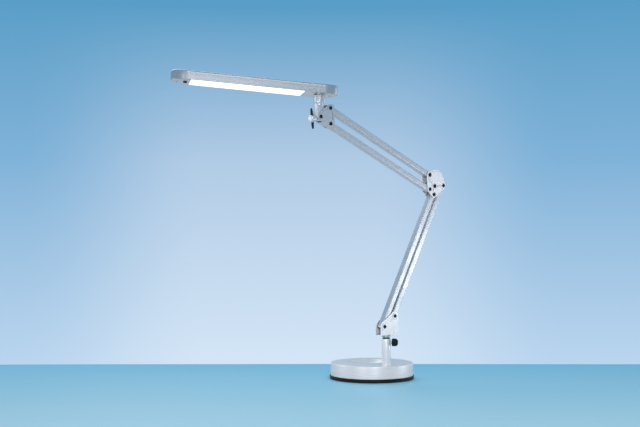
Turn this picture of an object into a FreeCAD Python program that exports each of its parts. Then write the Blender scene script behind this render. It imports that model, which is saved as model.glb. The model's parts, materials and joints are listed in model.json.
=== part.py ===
import FreeCAD, Part
import math
import os

# A balanced-arm desk lamp, built at the pose in which it stands.
# Origin: the centre of the base's underside, +Z up, millimetres and degrees.
# The arm folds in a plane parallel to XZ and reaches towards -X, so every arm pivot runs along Y.
# "Front" is the side that faces -Y.

V = FreeCAD.Vector
ORIGIN = V(0, 0, 0)
X_AXIS = V(1, 0, 0)
Y_AXIS = V(0, 1, 0)
Z_AXIS = V(0, 0, 1)

# ---- fits ---------------------------------------------------------------------------------
running_gap = 0.05        # radial, for a shaft that turns in its bore
press_gap = 0.02          # radial, for pieces pushed or screwed together
side_gap = 0.1            # between a bush flange and the plate that it runs against
free_gap = 0.3            # between moving pieces that never touch
hole_gap = 0.25           # radial, where a part drops through a cover

# ---- base ---------------------------------------------------------------------------------
cover_radius = 97.0
pan_stand_out = 2.0       # the pan shows as a rim this much wider than the cover
pan_radius = cover_radius + pan_stand_out
pad_inset = 1.5
pad_radius = pan_radius - pad_inset
pad_height = 1.5
pan_height = 7.0
pan_floor = 2.0
pan_rim = 5.5
pan_lip_height = 2.0
cover_height = 29.5
cover_wall = 1.5
cover_edge_radius = 3.0
dish_radius = 49.0
dish_depth = 8.0
dish_floor_radius = 40.0
dish_offset = 26.0        # from the base's centre, away from the post
weight_gap = 5.5          # between the casting and the cover's wall, for the pan's lip
weight_radius = cover_radius - cover_wall - weight_gap
weight_floor = 12.0
weight_ring = 6.0
weight_boss_radius = 18.0
pan_screw_count = 3
pan_screw_inset = 24.0
pan_screw_circle = weight_radius - pan_screw_inset
pan_screw_radius = 2.0
pan_screw_length = 9.0
pan_screw_head_radius = 3.8
gland_height = 19.0       # above the floor
gland_radius = 4.2
gland_bore_radius = 2.6
gland_length = 10.0
gland_flange_radius = 6.5
gland_flange = 2.0
gland_room = 3.0          # round the gland, inside the casting

# ---- post, bush and clamp -----------------------------------------------------------------
post_inset = 22.0         # from the cover's side
post_offset = cover_radius - post_inset
post_direction = -108.8
post_radius = 10.25
post_height = 61.0
post_bore_radius = 7.0
post_bore_depth = 41.0
stud_radius = 5.0
stud_length = 32.0
stud_nut_height = 5.0
stud_nut_radius = 9.5
bush_flange_radius = 8.3
bush_flange = 3.6
bush_length = 37.0
spigot_radius = 5.95
spigot_length = 42.0
spigot_groove_depth = 0.9
spigot_groove_height = 8.0
spigot_collar_radius = 10.5
spigot_collar = 4.0
washer_radius = 8.6
washer_height = 1.4
spigot_neck_radius = 4.0
spigot_nut_radius = 6.8
spigot_nut_height = 3.5
clamp_height = 53.0       # above the base's top
clamp_direction = -55.0
clamp_screw_radius = 2.5
clamp_shoulder_radius = 3.6
clamp_shoulder = 3.2
clamp_knob_radius = 8.85
clamp_knob_length = 13.6
clamp_knob_dome = 6.5
clamp_flutes = 10
clamp_flute_radius = 1.5

# ---- the two parallelograms ---------------------------------------------------------------
link_length = 350.0       # pivot to pivot, all four bars
lower_lean = 28.96        # the lower arm leans back from upright
upper_rise = 22.6         # the upper arm rises from level
foot_pivot_x = -14.5      # front lower pivot, from the post's axis
foot_pivot_height = 20.0  # above the bracket's underside
lower_pair = (34.2, 22.9)         # front lower pivot to rear lower pivot
upper_pair = (-1.0, 34.5)         # bottom upper pivot to top upper pivot
elbow_lower = (14.0, -12.7)       # bottom upper pivot to front lower bar's pivot
elbow_tie = (16.2, 7.9)           # bottom upper pivot to the tie that holds the upper spring
nod_offset = (-29.5, 13.6)        # bottom upper pivot at the head to the nod pivot
bar_depth = 13.0          # in the arm's plane
bar_width = 14.0          # along Y
bar_wall = 1.0
bar_edge_radius = 1.2
sheet = 1.5               # bracket and plate thickness
bush_wall = 1.15
bar_bush_flange_radius = 5.2
bar_bush_flange = 0.4
pivot_radius = 2.0        # shank of every pivot screw
head_radius = 4.0
head_height = 2.3
socket_width = 2.5
socket_depth = 1.2
nut_width = 7.0
nut_height = 3.2
nut_stand_out = 0.8       # thread that shows past the nut
tie_radius = 3.6

# ---- foot bracket -------------------------------------------------------------------------
foot_front_lug = 11.5
foot_rear_lug = 11.0
foot_corner_radius = 3.0
foot_boss_radius = 7.6
foot_boss_height = 0.6
foot_skirt = 2.5          # the bracket's far end hangs this far below its floor
foot_skirt_start = 12.5   # from the post's axis
foot_web_clear = 4.0      # the end web stops this far below the rear pivot

# ---- elbow and head plates ----------------------------------------------------------------
elbow_lug = 8.2
elbow_bulge = 15.6        # of the outer arc, past the two lugs that it joins
emboss_height = 0.8
emboss_inset = 3.4        # from the plate's edge
emboss_clear = 5.8        # round each screw
emboss_gap = 1.1          # half the groove between the elbow's two raised fields
head_lug = 8.4
head_edge_reach = 4.0     # the plates' edge lugs lie this far past the two upper pivots
head_slot_place = 6.3     # from the top upper pivot, away from the nod pivot
head_slot_top = 10.3      # below the top upper pivot
head_slot_run = 14.0
head_slot_radius = 1.0
head_web_start = 10.0     # from the nod pivot, along the line to the bottom upper pivot
head_web_stop = 4.0       # short of the bottom upper pivot
small_hole_radius = 1.3
elbow_small_holes = [(10.3, -1.6), (45.4, 1.7)]
head_small_holes = [(-10.6, -4.4)]

# ---- balance springs ----------------------------------------------------------------------
spring_radius = 4.4
spring_wire = 1.2
spring_start = 70.0       # along the bar from its pivot
spring_length = 90.0
spring_eye_radius = 1.0   # of the eye's wire, past the pin that it holds
spring_shank_radius = 0.7
spring_pin_radius = 1.5
spring_slot_width = 4.0
spring_slot_length = 50.0
foot_pin_reach = 18.0     # from the rear lower pivot
foot_pin_direction = 217.0

# ---- head joint ---------------------------------------------------------------------------
nod_rest = 4.8            # the head's far end is raised
swivel_rest = -30.4       # the head is turned out of the arm's plane
nod_bush_radius = 4.0
knuckle_radius = 9.4
knuckle_round_start = 24.0
knuckle_round_radius = 9.8
knuckle_cheek = 1.2       # the tongue's corners stand this far outside the round stem
knuckle_top = 30.0
knuckle_bore_depth = 14.0
wing_drop = 20.4          # the wing screw points this far down from the head's level
barrel_radius = 4.6
barrel_front = 10.8
wing_screw_radius = 2.0
wing_screw_depth = 6.4    # of thread inside the barrel, up to the nod bush
wing_hub_radius = 8.2
wing_hub_length = 13.0
wing_hub_dome = 3.0
wing_span = 46.0
wing_thickness = 3.6
wing_root_width = 9.0
wing_tip_width = 5.0
wing_turn = 10.0
grub_radius = 1.5
grub_height = 25.0
stem_radius = 4.95
stem_groove = 0.8
stem_groove_height = 4.0
collar_radius = 12.6
collar_edge = 1.0
stem_thread_radius = 5.0
stem_thread_length = 7.5
stem_nut_radius = 8.5
stem_nut_height = 3.5

# ---- head ---------------------------------------------------------------------------------
head_underside = 48.0     # above the nod pivot, along the stem
lamp_length = 363.4
lamp_width = 70.3
stem_from_end = 38.7
lamp_base_thick = 3.0
lamp_side_height = 15.5   # of the shell above the base plate
lamp_crown = 4.0
lamp_edge_round = 1.4
shell_wall = 1.6
diffuser_width = 63.0
diffuser_from_end = 41.5  # from the far end
diffuser_from_near_end = 76.9
diffuser_length = lamp_length - diffuser_from_end - diffuser_from_near_end
diffuser_flange = 1.2
diffuser_lip = 1.6
diffuser_corner = 2.0
reflector_height = 7.5
reflector_wall = 1.0
board_margin = 4.5        # from the window's ends
board_length = diffuser_length - 2 * board_margin
board_width = 46.0
board_thick = 1.4
chip_rows = 2
chip_columns = 12
chip_size = 3.0
chip_height = 0.7
lamp_screw_from_end = 15.0
lamp_screw_radius = 1.5
lamp_screw_head_radius = 3.0
lamp_screw_head = 1.6
lamp_screw_boss_radius = 4.0
button_from_end = 31.0
button_radius = 4.2
button_stand_out = 2.6
button_flange_radius = 5.6
button_flange = 1.2
button_pin_radius = 1.6
button_pin = 1.0
button_travel = 1.5
button_spring_wire = 0.5
switch_width = 15.0
switch_depth = 11.0
switch_height = 4.5
switch_leg = 1.2
switch_room = 3.2         # between the button's flange and the switch

# ---- places that follow from the sizes ----------------------------------------------------
pan_z = pad_height
cover_z = pan_z + pan_height
base_top = cover_z + cover_height
casting_z = pan_z + pan_floor
casting_top = base_top - cover_wall
post_x = post_offset * math.cos(math.radians(post_direction))
post_y = post_offset * math.sin(math.radians(post_direction))
dish_x = -dish_offset * math.cos(math.radians(post_direction))
dish_y = -dish_offset * math.sin(math.radians(post_direction))
post_top = base_top + post_height
washer_z = post_top + bush_flange
collar_z = washer_z + washer_height
bracket_z = collar_z + spigot_collar
clamp_z = base_top + clamp_height
spigot_bore_radius = spigot_radius + running_gap

plate_gap = bar_width + 2 * (bar_bush_flange + side_gap)
inner_y = plate_gap / 2
outer_y = inner_y + sheet
pivot_bore_radius = pivot_radius + running_gap
bush_radius = pivot_bore_radius + bush_wall


def shifted(point, step):
    """A point of the arm's plane moved by a step (x, z)."""
    return (point[0] + step[0], point[1] + step[1])


def along(point, angle, length):
    """A point of the arm's plane at an angle from +X and a distance."""
    turn = math.radians(angle)
    return (point[0] + length * math.cos(turn), point[1] + length * math.sin(turn))


foot_front = (post_x + foot_pivot_x, bracket_z + foot_pivot_height)
foot_rear = shifted(foot_front, lower_pair)
elbow_front = along(foot_front, 90 - lower_lean, link_length)
elbow_rear = shifted(elbow_front, lower_pair)
elbow_bottom = (elbow_front[0] - elbow_lower[0], elbow_front[1] - elbow_lower[1])
elbow_top = shifted(elbow_bottom, upper_pair)
elbow_tie_point = shifted(elbow_bottom, elbow_tie)
head_bottom = along(elbow_bottom, 180 - upper_rise, link_length)
head_top = shifted(head_bottom, upper_pair)
nod_point = shifted(head_bottom, nod_offset)
foot_pin_point = along(foot_rear, foot_pin_direction, foot_pin_reach)


# ---- shared shapes ------------------------------------------------------------------------
def rod(start, axis, radius, length):
    return Part.makeCylinder(radius, length, start, axis)


def arm_rod(point, radius, y_from, y_to):
    """A cylinder along Y through a point of the arm's plane, between two distances from it."""
    return rod(V(point[0], post_y + y_from, point[1]), Y_AXIS, radius, y_to - y_from)


def hexagon(start, axis, width, length):
    """A hexagonal bar, measured across its flats, standing on start and running along axis."""
    radius = width / math.sqrt(3)
    corners = [V(radius * math.cos(k * math.pi / 3), radius * math.sin(k * math.pi / 3), 0) for k in range(7)]
    bar = Part.Face(Part.makePolygon(corners)).extrude(Z_AXIS * length)
    bar.Placement = FreeCAD.Placement(start, FreeCAD.Rotation(Z_AXIS, axis))
    return bar


def belt_wire(lugs, y):
    """The outline of a belt round circles (x, z, radius), listed anticlockwise, in the plane y.

    Each straight run touches two circles from outside: its normal leans from the line between
    their centres by the arc cosine of the difference of the radii over the distance.
    """
    normals = []
    for k, (x, z, radius) in enumerate(lugs):
        next_x, next_z, next_radius = lugs[(k + 1) % len(lugs)]
        reach = math.hypot(next_x - x, next_z - z)
        heading = math.atan2(next_z - z, next_x - x)
        normals.append(heading - math.acos((radius - next_radius) / reach))
    edges = []
    for k, (x, z, radius) in enumerate(lugs):
        start = normals[k - 1]
        sweep = (normals[k] - start) % (2 * math.pi)
        arc = [V(x + radius * math.cos(start + s * sweep), y, z + radius * math.sin(start + s * sweep))
               for s in (0, 0.5, 1)]
        edges.append(Part.Arc(*arc).toShape())
        next_x, next_z, next_radius = lugs[(k + 1) % len(lugs)]
        run_end = V(next_x + next_radius * math.cos(normals[k]), y, next_z + next_radius * math.sin(normals[k]))
        edges.append(Part.LineSegment(arc[2], run_end).toShape())
    return Part.Wire(edges)


def belt_plate(lugs, y_from, y_to):
    """A plate with a belt outline, between two distances from the arm's plane."""
    face = Part.Face(belt_wire(lugs, post_y + y_from))
    return face.extrude(V(0, y_to - y_from, 0))


def mirrored(shape):
    """The same piece on the other side of the arm's plane."""
    return shape.mirror(V(0, post_y, 0), Y_AXIS)


def lathe(profile, axis_point, axis):
    """A turned piece from (distance along the axis, radius) pairs, closed along the axis."""
    side = V(0, 0, 1).cross(axis) if abs(axis.z) < 0.9 else X_AXIS
    points = [axis_point + axis * along_axis + side * radius for along_axis, radius in profile]
    face = Part.Face(Part.makePolygon(points + [points[0]]))
    return face.revolve(axis_point, axis, 360)


def pivot_screw(point, face_y):
    """A button-head screw: head on the front face, thread through to past the rear nut."""
    head = arm_rod(point, head_radius, -face_y - head_height, -face_y)
    rim = [edge for edge in head.Edges if abs(edge.BoundBox.YMax - (post_y - face_y - head_height)) < 1e-6]
    head = head.makeFillet(head_height * 0.6, [edge for edge in rim if edge.Length > head_radius])
    socket_start = V(point[0], post_y - face_y - head_height, point[1])
    socket = hexagon(socket_start, Y_AXIS, socket_width, socket_depth)
    shank = arm_rod(point, pivot_radius, -face_y, face_y + nut_height + nut_stand_out)
    return head.fuse(shank).cut(socket)


def pivot_nut(point, face_y):
    body = hexagon(V(point[0], post_y + face_y, point[1]), Y_AXIS, nut_width, nut_height)
    bore = arm_rod(point, pivot_radius + press_gap, face_y - 1, face_y + nut_height + 1)
    return body.cut(bore)


def bar_bush(point):
    """A flanged sleeve that lines the bar at a pivot and runs on the pivot's screw."""
    half = bar_width / 2
    sleeve = arm_rod(point, bush_radius, -half, half)
    for side in (-half - bar_bush_flange, half):
        sleeve = sleeve.fuse(arm_rod(point, bar_bush_flange_radius, side, side + bar_bush_flange))
    bore = arm_rod(point, pivot_bore_radius, -half - 1, half + 1)
    return sleeve.cut(bore)


def sleeve_between_plates(point, radius):
    body = arm_rod(point, radius, -inner_y, inner_y)
    return body.cut(arm_rod(point, pivot_radius + press_gap, -inner_y - 1, inner_y + 1))


# ---- bars and balance springs -------------------------------------------------------------
def laid_along(shape, start, end):
    """Turns a piece drawn along +X about Y so that it runs from start to end in the arm's plane."""
    angle = math.degrees(math.atan2(end[1] - start[1], end[0] - start[0]))
    shape.rotate(ORIGIN, V(0, -1, 0), angle)
    shape.translate(V(start[0], post_y, start[1]))
    return shape


def in_bar(point, start, end):
    """Where a point of the arm's plane lies along and across a bar."""
    length = math.hypot(end[0] - start[0], end[1] - start[1])
    ux, uz = (end[0] - start[0]) / length, (end[1] - start[1]) / length
    dx, dz = point[0] - start[0], point[1] - start[1]
    return (dx * ux + dz * uz, dz * ux - dx * uz)


def bar(start, end, spring_anchor=None):
    """A rectangular tube with rounded ends, cross-bored at both pivots.

    With a spring anchor it also has the slot that lets the spring out and a cross hole for its pin.
    """
    half_depth = bar_depth / 2
    half_width = bar_width / 2
    length = math.hypot(end[0] - start[0], end[1] - start[1])
    outline = belt_wire([(0, 0, half_depth), (length, 0, half_depth)], -half_width)
    body = Part.Face(outline).extrude(V(0, bar_width, 0))
    long_edges = [edge for edge in body.Edges if edge.BoundBox.YLength < 1e-6]
    body = body.makeFillet(bar_edge_radius, long_edges)
    bore_depth = bar_depth - 2 * bar_wall
    bore_width = bar_width - 2 * bar_wall
    run = length + 2 * bar_depth
    body = body.cut(Part.makeBox(run, bore_width, bore_depth, V(-bar_depth, -bore_width / 2, -bore_depth / 2)))
    for place in (0, length):
        body = body.cut(rod(V(place, -bar_width, 0), Y_AXIS, bush_radius + press_gap, 2 * bar_width))
    if spring_anchor is not None:
        across = in_bar(spring_anchor, start, end)[1]
        low = 0 if across > 0 else -bar_depth
        slot_start = V(-bar_depth, -spring_slot_width / 2, low)
        body = body.cut(Part.makeBox(bar_depth + spring_slot_length, spring_slot_width, bar_depth, slot_start))
        pin_place = V(spring_start + spring_length, -bar_width, 0)
        body = body.cut(rod(pin_place, Y_AXIS, spring_pin_radius + press_gap, 2 * bar_width))
    return laid_along(body, start, end)


def spring_pin(start, end):
    """The cross pin that holds the spring's far end in its bar."""
    pin = rod(V(spring_start + spring_length, -bar_width / 2, 0), Y_AXIS, spring_pin_radius, bar_width)
    return laid_along(pin, start, end)


def spring_eye(place, across, pin_radius):
    outer = pin_radius + free_gap + 2 * spring_eye_radius
    ring = rod(V(place, -spring_eye_radius, across), Y_AXIS, outer, 2 * spring_eye_radius)
    return ring.cut(rod(V(place, -2 * spring_eye_radius, across), Y_AXIS, pin_radius + free_gap, 4 * spring_eye_radius))


def balance_spring(start, end, anchor, anchor_radius):
    """The close-wound body as a sleeve, its two eyes and the shank that reaches the anchor."""
    place, across = in_bar(anchor, start, end)
    far = spring_start + spring_length
    coil_end = far - spring_pin_radius - free_gap - spring_eye_radius
    body = rod(V(spring_start, 0, 0), X_AXIS, spring_radius, coil_end - spring_start)
    hollow_start = V(spring_start + spring_wire, 0, 0)
    hollow = rod(hollow_start, X_AXIS, spring_radius - spring_wire, coil_end - spring_start - 2 * spring_wire)
    body = body.cut(hollow)
    body = body.fuse(spring_eye(far, 0, spring_pin_radius))
    root = V(spring_start + spring_wire / 2, 0, 0)
    reach = V(place, 0, across) - root
    shank_length = reach.Length - anchor_radius - free_gap - spring_eye_radius
    body = body.fuse(rod(root, reach, spring_shank_radius, shank_length))
    body = body.fuse(spring_eye(place, across, anchor_radius))
    return laid_along(body, start, end)


# ---- base ---------------------------------------------------------------------------------
def dish_tool(grow, top):
    """The tapered round space of the dish, grown on every side, open above the base."""
    low = base_top - dish_depth - grow
    side = dish_radius + grow
    floor = dish_floor_radius + grow
    lip_height = top - low
    cone = Part.makeCone(floor, side, base_top - low, V(dish_x, dish_y, low), Z_AXIS)
    rim = rod(V(dish_x, dish_y, base_top), Z_AXIS, side, max(lip_height - (base_top - low), 1.0))
    return cone.fuse(rim)


def base_cover():
    outer = rod(V(0, 0, cover_z), Z_AXIS, cover_radius, cover_height)
    top_edge = [edge for edge in outer.Edges if abs(edge.BoundBox.ZMin - base_top) < 1e-6]
    outer = outer.makeFillet(cover_edge_radius, top_edge)
    outer = outer.cut(dish_tool(0, base_top + 5))
    inner = rod(V(0, 0, cover_z - 1), Z_AXIS, cover_radius - cover_wall, cover_height - cover_wall + 1)
    inner = inner.cut(dish_tool(cover_wall, base_top + 5))
    cover = outer.cut(inner)
    cover = cover.cut(rod(V(post_x, post_y, casting_top - 1), Z_AXIS, stud_radius + hole_gap, cover_wall + 2))
    gland_hole = rod(V(0, cover_radius - 2 * cover_wall, gland_height), Y_AXIS, gland_radius + press_gap, 4 * cover_wall)
    return cover.cut(gland_hole)


def base_pan():
    pocket_radius = pan_radius - pan_rim
    pan = rod(V(0, 0, pan_z), Z_AXIS, pan_radius, pan_height)
    rim_edges = [edge for edge in pan.Edges if len(edge.Vertexes) == 1 and edge.Length > pan_radius]
    pan = pan.makeFillet(1.0, rim_edges)
    lip_radius = cover_radius - cover_wall - hole_gap
    pan = pan.fuse(rod(V(0, 0, pan_z + pan_height / 2), Z_AXIS, lip_radius, pan_height / 2 + pan_lip_height))
    pan = pan.cut(rod(V(0, 0, casting_z), Z_AXIS, pocket_radius, pan_height + pan_lip_height))
    for x, y in pan_screw_places():
        pan = pan.cut(rod(V(x, y, pan_z - 1), Z_AXIS, pan_screw_radius + hole_gap, pan_floor + 2))
        pan = pan.cut(rod(V(x, y, pan_z - 1), Z_AXIS, pan_screw_head_radius + hole_gap, 1 + pan_floor / 2))
    return pan


def pan_screw_places():
    turns = [post_direction + 60 + 360 * k / pan_screw_count for k in range(pan_screw_count)]
    return [(pan_screw_circle * math.cos(math.radians(t)), pan_screw_circle * math.sin(math.radians(t))) for t in turns]


def pan_screws():
    screws = []
    for x, y in pan_screw_places():
        head = rod(V(x, y, pan_z), Z_AXIS, pan_screw_head_radius, pan_floor / 2)
        screws.append(head.fuse(rod(V(x, y, pan_z), Z_AXIS, pan_screw_radius, pan_screw_length)))
    return Part.makeCompound(screws)


def base_weight():
    """A cast disc with a ring and a post boss that carry the cover's top, open under the dish."""
    weight = rod(V(0, 0, casting_z), Z_AXIS, weight_radius, casting_top - casting_z)
    hollow_z = casting_z + weight_floor
    hollow = rod(V(0, 0, hollow_z), Z_AXIS, weight_radius - weight_ring, casting_top)
    boss = rod(V(post_x, post_y, hollow_z), Z_AXIS, weight_boss_radius, casting_top - hollow_z)
    boss = boss.common(rod(V(0, 0, hollow_z), Z_AXIS, weight_radius, casting_top))
    weight = weight.cut(hollow).fuse(boss)
    weight = weight.cut(rod(V(post_x, post_y, casting_z - 1), Z_AXIS, stud_radius + hole_gap, casting_top))
    nut_room = stud_nut_height + pan_floor
    weight = weight.cut(rod(V(post_x, post_y, casting_z - 1), Z_AXIS, stud_nut_radius + 1.5, nut_room + 1))
    for x, y in pan_screw_places():
        weight = weight.cut(rod(V(x, y, casting_z - 1), Z_AXIS, pan_screw_radius + press_gap, pan_screw_length))
    cord_way = rod(V(0, weight_radius - 3 * weight_ring, gland_height), Y_AXIS, gland_radius + gland_room, weight_radius)
    return weight.cut(cord_way)


def cord_gland():
    start = V(0, cover_radius, gland_height)
    flange = rod(start, Y_AXIS, gland_flange_radius, gland_flange)
    sleeve = rod(V(0, cover_radius + gland_flange - gland_length, gland_height), Y_AXIS, gland_radius, gland_length)
    bore_start = V(0, cover_radius - gland_length, gland_height)
    hidden_edge = rod(V(0, 0, gland_height), Y_AXIS, gland_flange_radius + 1, cover_radius + 0.5)
    flange_foot = rod(V(0, cover_radius - 1, gland_height), Y_AXIS, gland_flange_radius, 1)
    flange_foot = flange_foot.cut(rod(V(0, 0, 0), Z_AXIS, cover_radius, 2 * base_top))
    body = flange.fuse(flange_foot).fuse(sleeve)
    return body.cut(rod(bore_start, Y_AXIS, gland_bore_radius, 2 * gland_length))


# ---- post, bush, spigot and clamp ---------------------------------------------------------
def post():
    bore_z = post_top - post_bore_depth
    profile = [
        (base_top - stud_length, 0), (base_top - stud_length, stud_radius - 0.6),
        (base_top - stud_length + 0.6, stud_radius), (base_top, stud_radius), (base_top, post_radius),
        (post_top - 0.8, post_radius), (post_top, post_radius - 0.8), (post_top, post_bore_radius),
        (bore_z, post_bore_radius), (bore_z, 0),
    ]
    body = lathe(profile, V(post_x, post_y, 0), Z_AXIS)
    return body.cut(clamp_rod(clamp_screw_radius + running_gap, 0, post_radius + 1))


def clamp_rod(radius, start, end):
    """A cylinder on the clamp screw's axis, between two distances from the post's axis."""
    turn = math.radians(clamp_direction)
    axis = V(math.cos(turn), math.sin(turn), 0)
    return rod(V(post_x, post_y, clamp_z) + axis * start, axis, radius, end - start)


def post_nut():
    nut_z = casting_z + pan_floor
    body = hexagon(V(post_x, post_y, nut_z), Z_AXIS, 2 * stud_nut_radius * math.cos(math.pi / 6), stud_nut_height)
    return body.cut(rod(V(post_x, post_y, nut_z - 1), Z_AXIS, stud_radius + press_gap, stud_nut_height + 2))


def post_bush():
    sleeve = rod(V(post_x, post_y, post_top - bush_length), Z_AXIS, post_bore_radius - press_gap, bush_length)
    flange = rod(V(post_x, post_y, post_top), Z_AXIS, bush_flange_radius, bush_flange)
    bore = rod(V(post_x, post_y, post_top - bush_length - 1), Z_AXIS, spigot_bore_radius, bush_length + bush_flange + 2)
    window = clamp_rod(clamp_screw_radius + hole_gap, 0, post_bore_radius + 1)
    return sleeve.fuse(flange).cut(bore).cut(window)


def swivel_spigot():
    groove_low = clamp_z - spigot_groove_height / 2
    groove_high = clamp_z + spigot_groove_height / 2
    groove_radius = spigot_radius - spigot_groove_depth
    low = collar_z - spigot_length
    profile = [
        (low, 0), (low, spigot_radius - 1), (low + 1, spigot_radius), (groove_low, spigot_radius),
        (groove_low, groove_radius), (groove_high, groove_radius), (groove_high, spigot_radius),
        (collar_z, spigot_radius), (collar_z, spigot_collar_radius), (bracket_z, spigot_collar_radius),
        (bracket_z, spigot_neck_radius), (bracket_z + sheet + spigot_nut_height + 1, spigot_neck_radius),
        (bracket_z + sheet + spigot_nut_height + 1, 0),
    ]
    return lathe(profile, V(post_x, post_y, 0), Z_AXIS)


def thrust_washer():
    ring = rod(V(post_x, post_y, washer_z), Z_AXIS, washer_radius, washer_height)
    return ring.cut(rod(V(post_x, post_y, washer_z - 1), Z_AXIS, spigot_bore_radius, washer_height + 2))


def spigot_nut():
    nut_z = bracket_z + sheet
    width = 2 * spigot_nut_radius * math.cos(math.pi / 6)
    body = hexagon(V(post_x, post_y, nut_z), Z_AXIS, width, spigot_nut_height)
    return body.cut(rod(V(post_x, post_y, nut_z - 1), Z_AXIS, spigot_neck_radius + press_gap, spigot_nut_height + 2))


def clamp_screw():
    tip = spigot_radius - spigot_groove_depth / 2
    shoulder_start = post_radius + free_gap
    body = clamp_rod(clamp_screw_radius, tip, clamp_face() + clamp_knob_length / 2)
    return body.fuse(clamp_rod(clamp_shoulder_radius, shoulder_start, clamp_face()))


def clamp_face():
    """Distance of the knob's inner face from the post's axis."""
    return post_radius + free_gap + clamp_shoulder


def clamp_knob():
    """A domed knob with flutes round its edge, drawn along +X and turned to the clamp's direction."""
    face = clamp_face()
    crown = face + clamp_knob_length
    knob = rod(V(face, 0, 0), X_AXIS, clamp_knob_radius, clamp_knob_length)
    knob = knob.makeFillet(clamp_knob_dome, [edge for edge in knob.Edges if edge.BoundBox.XMin > crown - 0.01])
    knob = knob.makeChamfer(1.0, [edge for edge in knob.Edges if edge.BoundBox.XMax < face + 0.01])
    flute_reach = clamp_knob_radius + clamp_flute_radius * 0.4
    for k in range(clamp_flutes):
        turn = 2 * math.pi * k / clamp_flutes
        place = V(face - 1, flute_reach * math.cos(turn), flute_reach * math.sin(turn))
        knob = knob.cut(rod(place, X_AXIS, clamp_flute_radius, clamp_knob_length + 2))
    knob = knob.cut(rod(V(face - 1, 0, 0), X_AXIS, clamp_screw_radius + press_gap, clamp_knob_length / 2 + 1))
    knob.rotate(ORIGIN, Z_AXIS, clamp_direction)
    knob.translate(V(post_x, post_y, clamp_z))
    return knob


# ---- foot bracket -------------------------------------------------------------------------
def foot_bracket():
    """A folded sheet: two lugged cheeks, a floor that takes the spigot's neck and a web at the far end."""
    left = foot_front[0] - foot_front_lug
    right = foot_rear[0] + foot_rear_lug
    corner = foot_corner_radius
    lugs = [
        (left + corner, bracket_z + corner, corner),
        (right - corner, bracket_z + corner, corner),
        (foot_rear[0], foot_rear[1], foot_rear_lug),
        (foot_front[0], foot_front[1], foot_front_lug),
    ]
    skirt_left = post_x + foot_skirt_start
    skirt = [
        (skirt_left + corner, bracket_z - foot_skirt + corner, corner),
        (right - corner, bracket_z - foot_skirt + corner, corner),
        (right - corner, bracket_z + 2 * corner, corner),
        (skirt_left + corner, bracket_z + 2 * corner, corner),
    ]
    cheek = belt_plate(lugs, -outer_y, -inner_y).fuse(belt_plate(skirt, -outer_y, -inner_y))
    for point in (foot_front, foot_rear):
        cheek = cheek.fuse(arm_rod(point, foot_boss_radius, -outer_y - foot_boss_height, -outer_y))
    floor_box = Part.makeBox(right - left - 2 * corner, 2 * outer_y, sheet, V(left + corner, post_y - outer_y, bracket_z))
    web_low = bracket_z - foot_skirt + corner
    web_height = foot_rear[1] - foot_web_clear - web_low
    end_web = Part.makeBox(sheet, 2 * outer_y, web_height, V(right - sheet, post_y - outer_y, web_low))
    bracket = cheek.fuse(mirrored(cheek)).fuse(floor_box).fuse(end_web)
    for point in (foot_front, foot_rear):
        bracket = bracket.cut(arm_rod(point, pivot_bore_radius, -2 * outer_y, 2 * outer_y))
    bracket = bracket.cut(arm_rod(foot_pin_point, spring_pin_radius + press_gap, -2 * outer_y, 2 * outer_y))
    return bracket.cut(rod(V(post_x, post_y, bracket_z - 1), Z_AXIS, spigot_neck_radius + press_gap, sheet + 2))


# ---- elbow and head plates ----------------------------------------------------------------
def fan_outline(grow, y):
    """The elbow plate's outline: lugs at the four pivots, the far two joined by a bulged arc."""
    radius = elbow_lug + grow
    lugs = [(p[0], p[1], radius) for p in (elbow_front, elbow_rear, elbow_top, elbow_bottom)]
    wire = belt_wire(lugs, y)
    span = V(elbow_top[0] - elbow_rear[0], 0, elbow_top[1] - elbow_rear[1])
    outward = V(span.z, 0, -span.x).normalize()
    start = V(elbow_rear[0], y, elbow_rear[1]) + outward * radius
    end = V(elbow_top[0], y, elbow_top[1]) + outward * radius
    middle = (start + end) * 0.5 + outward * elbow_bulge
    edges = []
    for edge in wire.Edges:
        ends = {round(vertex.Point.distanceToPoint(start), 4) for vertex in edge.Vertexes}
        far_ends = {round(vertex.Point.distanceToPoint(end), 4) for vertex in edge.Vertexes}
        if 0.0 in ends and 0.0 in far_ends:
            edges.append(Part.Arc(start, middle, end).toShape())
        else:
            edges.append(edge)
    return Part.Wire(Part.__sortEdges__(edges))


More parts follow.
